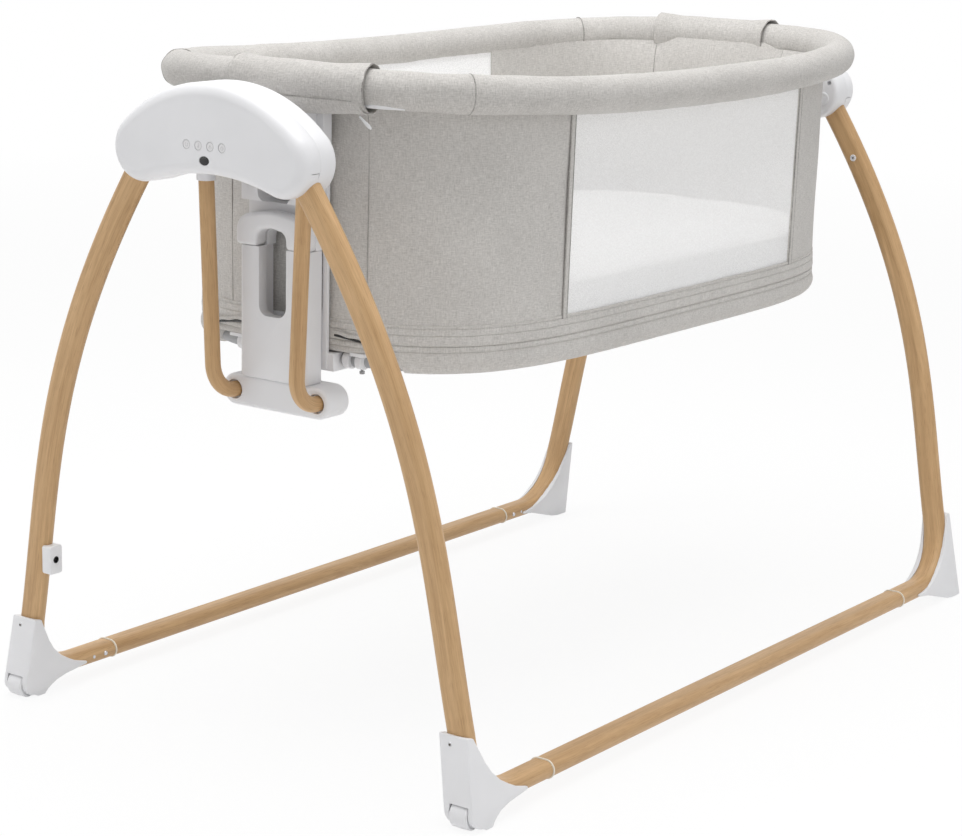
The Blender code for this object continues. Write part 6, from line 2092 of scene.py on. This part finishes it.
    def band(self) -> None:
        """The bottom band: two sewn lines, the covered zip and the padded pocket below it."""
        upper = [
            (0.4475, 0.0010), (0.4481, 0.0004), (0.4487, 0.0012), (0.4503, 0.0019), (0.4525, 0.0019), (0.4541, 0.0013),
            (0.4546, 0.0002), (0.4552, 0.0013), (0.4567, 0.0021), (0.4590, 0.0023), (0.4612, 0.0021),
            (0.4640, 0.0019), (0.4656, 0.0016), (0.4661, 0.0008), (0.4666, 0.0015), (0.4690, 0.0016),
            (0.4718, 0.0014), (0.4730, 0.0011), (0.4734, 0.0003), (0.4739, 0.0008), (0.4765, 0.0010), (0.4772, 0.0),
        ]
        pocket = [
            (0.4388, -0.0316), (0.4300, -0.0312), (0.4238, -0.0290), (0.4226, -0.0200), (0.4228, -0.0125), (0.4240, -0.0068),
            (0.4262, -0.0026), (0.4292, 0.0006), (0.4330, 0.0027), (0.4372, 0.0038), (0.4412, 0.0037), (0.4448, 0.0024),
        ] + upper
        plain = [
            (0.4404, -0.0200), (0.4402, -0.0160), (0.4402, -0.0120), (0.4402, -0.0080), (0.4403, -0.0045), (0.4406, -0.0020),
            (0.4411, -0.0002), (0.4419, 0.0008), (0.4429, 0.0014), (0.4440, 0.0016), (0.4452, 0.0016), (0.4464, 0.0013),
        ] + upper
        base = self.loop(0.45, 0.0, 560)
        rows = []
        for (pocket_up, pocket_out), (plain_up, plain_out) in zip(pocket, plain):
            ring = []
            for index, point in enumerate(base):
                over = min(max((0.134 - abs(point.x)) / 0.012, 0.0), 1.0) if abs(point.y) > 0.3 else 0.0
                up = pocket_up + (plain_up - pocket_up) * over
                out = pocket_out + (plain_out - pocket_out) * over
                before, after = base[index - 1], base[(index + 1) % len(base)]
                along = (after - before).normalized()
                way = Vector((along.y, -along.x, 0))
                narrow = (self.half_x(0.45) - self.half_x(up)) * abs(way.x)
                belly = max(0.0, min(1.0, (0.4480 - up) / 0.008)) if up > 0.4260 else 0.3
                wave = noise.noise(Vector((index * 0.09, up * 60, 1.0))) * 0.0016 * belly
                tug = noise.noise(Vector((index * 0.33, up * 20, 9.0))) * 0.0005
                place = point + way * (out - narrow + wave + tug)
                ring.append(Vector((place.x, place.y, up + tug * 0.6)))
            rows.append(ring + ring[:1])
        band = skin("bottom_band", rows)
        tidied(band, 0.000002)
        apply_modifier(band, "SOLIDIFY", thickness=0.0020, offset=-1.0)
        smoothed(band, 50)
        dress(band, WALL_CLOTH, "basket")

    def floor(self) -> None:
        """The cloth stretched under the board."""
        outline = [Vector((p.x, p.y, 0.4396)) for p in self.loop(0.44, -0.010, 160)]
        sheet = slab("floor_cloth", outline, Vector((0, 0, 0.0014)))
        dress(sheet, WALL_CLOTH, "basket")

    def side_zips(self) -> None:
        """The dark zips that close the bottom band beside each bracket, with the fold of cloth over them."""
        for end in End:
            teeth, folds = [], []
            for side in Side:
                line = []
                for step in range(21):
                    share = step / 20
                    x, up = 0.056 + 0.066 * share, 0.4592 - 0.0100 * share**1.4
                    turn = math.acos((x / self.half_x(up)) ** 1.6)
                    point = self.wall(end.value * turn, up, -0.0030 - 0.0006 * math.sin(share * 9))
                    line.append(Vector((side.value * point.x, point.y, point.z)))
                flat = [(0.0016 * a, 0.0012 * b) for a, b in round_section(1, 12)]
                teeth.append(tube("zip", line, lambda _, f=flat: f, Vector((0, 0, 1))))
                over = [p + Vector((0, end.value * 0.0004, 0.0030 + 0.0006 * math.sin(i * 0.9))) for i, p in enumerate(line)]
                fold = [(0.0022 * a, 0.0014 * b) for a, b in round_section(1, 12)]
                folds.append(tube("fold", over, lambda _, f=fold: f, Vector((0, 0, 1))))
            zips = joined(f"{end.word}_band_zips", teeth)
            smoothed(zips, 60)
            dress(zips, BLACK, "basket")
            cover = joined(f"{end.word}_band_zip_folds", folds)
            smoothed(cover, 60)
            dress(cover, WALL_CLOTH, "basket")

    def seams(self) -> None:
        """The seam line where the wall meets the rim, its dark cloth partly painted shade under the rim, the panel
        joints and the rim's ring seams.
        """
        pieces = []
        # Partly painted shade: this thick dark tube is the seam under the rim, and its dark cloth also stands in for
        # the shade beneath the rim's overhang.
        under = []
        for turn in self.turns(0.0, 2 * math.pi, 420)[:-1]:
            under.append(self.rise(turn, 0.985, -0.0012))
        ring = round_section(0.0012, 8)
        pieces.append(tube("under", under, lambda _: ring, Vector((0, 0, 1)), True))
        for side in Side:
            for end in End:
                thread = round_section(0.0004, 8)
                for inset in (-0.0002, self.thick + 0.0002):
                    line = [self.rise(end.value * self.seam_turn, step / 24, inset) for step in range(25)]
                    line = [Vector((side.value * point.x, point.y, point.z)) for point in line]
                    pieces.append(tube("joint", line, lambda _, t=thread: t, Vector((1, 0, 0))))
        rim = self.rim_line(900)
        for x, y in ((0.199, -0.390), (-0.1975, 0.392), (-0.186, -0.405)):
            index = self.rim_index(rim, x, y)
            point, along = rim[index], (rim[(index + 2) % len(rim)] - rim[index - 2]).normalized()
            up = (Vector((0, 0, 1)) - along * along.z).normalized()
            out = along.cross(up)
            hoop = [
                point + (out * math.cos(a) + up * math.sin(a)) * (self.rim_r + 0.0002 + 0.0003 * math.sin(7 * a))
                for a in (2 * math.pi * s / 48 for s in range(48))
            ]
            thread = round_section(0.0007, 8)
            pieces.append(tube("hoop", hoop, lambda _, t=thread: t, along, True))
        seams = joined("sewn_seams", pieces)
        smoothed(seams, 60)
        dress(seams, SEAM_CLOTH, "basket")

    @staticmethod
    def rim_index(rim: Ring, x: float, y: float) -> int:
        """The rim point nearest a place in plan."""
        return min(range(len(rim)), key=lambda i: (rim[i].x - x) ** 2 + (rim[i].y - y) ** 2)


def oval_unit(points: int) -> list[tuple[float, float]]:
    """A flattened round of unit half sizes, squarer than a circle."""
    turns = [2 * math.pi * s / points for s in range(points)]
    return [
        (math.copysign(abs(math.cos(t)) ** 0.7, math.cos(t)), math.copysign(abs(math.sin(t)) ** 0.9, math.sin(t)))
        for t in turns
    ]


@dataclass
class Bedding:
    """The mattress with its piped edges, on the board."""

    cloth: BasketCloth = field(default_factory=BasketCloth)
    board_low: float = 0.4438
    board_tall: float = 0.016
    bed_low: float = 0.4601
    bed_tall: float = 0.056
    crown: float = 0.004
    room: float = 0.008

    def build(self) -> None:
        """Makes the board and the mattress."""
        outline = [Vector((p.x, p.y, self.board_low)) for p in self.cloth.loop(0.444, -0.006, 160)]
        board = slab("hardboard_base", outline, Vector((0, 0, self.board_tall)))
        rounded(board, 0.0015, 2, 40)
        smoothed(board, 40)
        dress(board, FIBRE, "basket", ["base_board"])
        self.mattress()

    def mattress(self) -> None:
        """The mattress: a closed pad, puffed by a cloth simulation, with piping round both edges."""
        rows = []
        base = self.cloth.loop(0.46, -self.room, 200)
        for up, inset in self.profile():
            rows.append([self.drawn_in(point, inset, self.bed_low + up * self.bed_tall) for point in base])
        pad = loft("mattress_pad", rows)
        self.puff(pad)
        apply_modifier(pad, "SMOOTH", factor=0.5, iterations=2)
        for vertex in pad.data.vertices:
            vertex.co.z = max(vertex.co.z, self.bed_low)
        smoothed(pad, 70)
        dress(pad, COTTON, "basket", ["mattress"])
        pipes = []
        for up in (0.16, 0.86):
            line = [self.drawn_in(p, 0.0022, self.bed_low + up * self.bed_tall) for p in base]
            ring = round_section(0.0024, 10)
            pipes.append(tube("pipe", line, lambda _, r=ring: r, Vector((0, 0, 1)), True))
        piping = joined("mattress_piping", pipes)
        smoothed(piping, 60)
        dress(piping, COTTON, "basket")

    @staticmethod
    def profile() -> list[tuple[float, float]]:
        """The pad's side and faces, as share of its height and distance in."""
        side = [(0.0, 0.16), (0.0, 0.06), (0.0, 0.022), (0.03, 0.010), (0.10, 0.0045), (0.20, 0.0030), (0.35, 0.0018)]
        side += [(0.50, 0.0014), (0.65, 0.0018), (0.80, 0.0030), (0.90, 0.0050), (0.96, 0.010), (0.99, 0.022)]
        return side + [(1.0, 0.045), (1.01, 0.08), (1.02, 0.12), (1.025, 0.16), (1.03, 0.19)]

    def drawn_in(self, point: Vector, inset: float, up: float) -> Vector:
        """A point of the pad's outline, drawn in towards the middle line."""
        half_x, half_y = self.cloth.wall_low_half - self.room, self.cloth.wall_end_y - self.room
        return Vector((point.x * (1 - inset / half_x), point.y * (1 - inset / half_y), up))

    def puff(self, pad: bpy.types.Object) -> None:
        """Blows the pad up a little as cloth, and keeps each point near where it began."""
        apply_modifier(pad, "REMESH", mode="VOXEL", voxel_size=0.006)
        start = [vertex.co.copy() for vertex in pad.data.vertices]
        activate(pad)
        cloth = pad.modifiers.new("cloth", "CLOTH")
        cloth.settings.use_pressure = True
        cloth.settings.uniform_pressure_force = 4.0
        cloth.settings.effector_weights.gravity = 0.0
        cloth.settings.quality = 4
        scene = bpy.context.scene
        for frame in range(1, 21):
            scene.frame_set(frame)
        bpy.ops.object.modifier_apply(modifier=cloth.name)
        scene.frame_set(1)
        for vertex, place in zip(pad.data.vertices, start):
            move = vertex.co - place
            if move.length > 0.0035:
                vertex.co = place + move.normalized() * 0.0035


# ---- the studio ----


@dataclass(frozen=True)
class PaleFloor:
    """The pale floor, white to the camera and in reflections, that keeps part of the shadow."""

    name: str = "pale_floor"
    colour: tuple = (0.97, 0.97, 0.97, 1.0)
    glow: float = 0.90
    reach: float = 5.0

    def make(self) -> bpy.types.Material:
        """Lays out the floor: a matt surface mixed with plain white for what sees it directly."""
        mix = Recipe(self.name, Coords.PIECE)
        mix.set(Base_Color=self.colour, Roughness=0.9, Specular_IOR_Level=0.0)
        rays = mix.nodes.new("ShaderNodeLightPath")
        seen = mix.sum_of(rays.outputs["Is Camera Ray"], rays.outputs["Is Glossy Ray"], "MAXIMUM")
        seen = mix.sum_of(seen, rays.outputs["Is Transmission Ray"], "MAXIMUM")
        near = mix.nodes.new("ShaderNodeTexGradient")
        near.gradient_type = "SPHERICAL"
        mix.links.new(mix.scaled((1 / self.reach,) * 3), near.inputs["Vector"])
        glow = mix.span(near.outputs["Fac"], 0.0, 0.6, 1.0, self.glow)
        white = mix.nodes.new("ShaderNodeEmission")
        white.inputs["Strength"].default_value = 1.0
        both = mix.nodes.new("ShaderNodeMixShader")
        mix.links.new(mix.sum_of(seen, glow, "MULTIPLY"), both.inputs["Fac"])
        mix.links.new(mix.shader.outputs["BSDF"], both.inputs[1])
        mix.links.new(white.outputs["Emission"], both.inputs[2])
        mix.links.new(both.outputs["Shader"], mix.nodes["Material Output"].inputs["Surface"])
        return mix.material


@dataclass
class Studio:
    """The pale floor, plain soft light and the camera at the photograph's angle."""

    focal_px: float = 2544.4
    width_px: float = 962.0
    place: tuple = (1.7473, -2.4854, 0.9813)
    across: tuple = (0.80548, 0.59224, 0.02104)
    upward: tuple = (-0.14901, 0.16803, 0.97446)
    forward: tuple = (-0.57358, 0.78804, -0.22360)
    ambient: float = 0.47
    lamps: tuple = (
        ("overhead", (0.0, -0.2, 3.0), (0.0, 0.0, 0.4), 2.6, 70.0),
        ("left_front", (-2.3, -2.6, 2.0), (0.0, 0.0, 0.45), 2.2, 14.0),
        ("right_front", (3.0, -0.6, 1.6), (0.0, 0.0, 0.45), 2.2, 9.0),
    )

    def build(self) -> None:
        """Lays the floor, sets the lights and places the camera."""
        deselect()
        bpy.ops.mesh.primitive_grid_add(x_subdivisions=8, y_subdivisions=8, size=90)
        floor = bpy.context.object
        floor.name = floor.data.name = "studio_floor"
        floor.data.materials.append(WARDROBE(PaleFloor()))
        self.sky()
        for name, place, target, size, power in self.lamps:
            self.lamp(name, Vector(place), Vector(target), size, power)
        self.camera()
        bpy.context.scene.view_settings.view_transform = "Standard"

    def sky(self) -> None:
        """Plain white for the camera and reflections, and plain soft light from all round."""
        world = bpy.data.worlds.new("studio_world")
        world.use_nodes = True
        bpy.context.scene.world = world
        nodes, links = world.node_tree.nodes, world.node_tree.links
        light = nodes["Background"]
        light.inputs["Color"].default_value = (1.0, 1.0, 1.0, 1.0)
        light.inputs["Strength"].default_value = self.ambient
        white = nodes.new("ShaderNodeBackground")
        white.inputs["Strength"].default_value = 1.0
        white.inputs["Color"].default_value = (1.0, 1.0, 1.0, 1.0)
        rays = nodes.new("ShaderNodeLightPath")
        first, second = nodes.new("ShaderNodeMath"), nodes.new("ShaderNodeMath")
        first.operation = second.operation = "MAXIMUM"
        links.new(rays.outputs["Is Camera Ray"], first.inputs[0])
        links.new(rays.outputs["Is Glossy Ray"], first.inputs[1])
        links.new(first.outputs["Value"], second.inputs[0])
        links.new(rays.outputs["Is Transmission Ray"], second.inputs[1])
        both = nodes.new("ShaderNodeMixShader")
        links.new(second.outputs["Value"], both.inputs["Fac"])
        links.new(light.outputs["Background"], both.inputs[1])
        links.new(white.outputs["Background"], both.inputs[2])
        links.new(both.outputs["Shader"], nodes["World Output"].inputs["Surface"])

    def lamp(self, name: str, place: Vector, target: Vector, size: float, power: float) -> None:
        """One soft box, aimed at a point.

        Args:
            name: The lamp's name.
            place: Where it hangs.
            target: What it is aimed at.
            size: The side of its square face.
            power: Its power, in watts.
        """
        data = bpy.data.lights.new(name, "AREA")
        data.energy, data.size, data.shape = power, size, "SQUARE"
        lamp = bpy.data.objects.new(name, data)
        bpy.context.scene.collection.objects.link(lamp)
        lamp.location = place
        lamp.rotation_euler = (target - place).to_track_quat("-Z", "Y").to_euler()

    def camera(self) -> None:
        """The camera, placed and turned as measured from the photograph."""
        data = bpy.data.cameras.new("photo_camera")
        data.sensor_fit, data.sensor_width = "HORIZONTAL", 36.0
        data.lens = self.focal_px * data.sensor_width / self.width_px
        data.clip_start, data.clip_end = 0.05, 200.0
        camera = bpy.data.objects.new("photo_camera", data)
        bpy.context.scene.collection.objects.link(camera)
        back = -Vector(self.forward)
        turned = Matrix((self.across, self.upward, back)).transposed().to_4x4()
        camera.matrix_world = Matrix.Translation(self.place) @ turned
        bpy.context.scene.camera = camera


def inner_finishes(nodes: dict[str, bpy.types.Object]) -> None:
    """Gives the CAD nodes that stay their finishes.

    Args:
        nodes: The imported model's nodes by name.
    """
    finishes = {
        "circuit_board": GREEN, "loudspeaker": BLACK, "drive_coil": COPPER, "drive_magnet": STEEL,
        "front_bush": BUSH, "rear_bush": BUSH, "front_shaft": STEEL, "rear_shaft": STEEL,
    }
    for name, finish in finishes.items():
        nodes[name].data.materials.clear()
        nodes[name].data.materials.append(WARDROBE(finish))


def main() -> None:
    """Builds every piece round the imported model, then the studio and the camera."""
    logging.basicConfig(level=logging.INFO, format="%(message)s")
    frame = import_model()
    nodes = frame["nodes"]
    StandTubes().build()
    Feet().build()
    Housings().build()
    PowerInlet().build()
    SwingGear().build()
    BasketGear().build(nodes)
    BasketCloth().build()
    Bedding().build()
    inner_finishes(nodes)
    Studio().build()


if __name__ == "__main__":
    main()
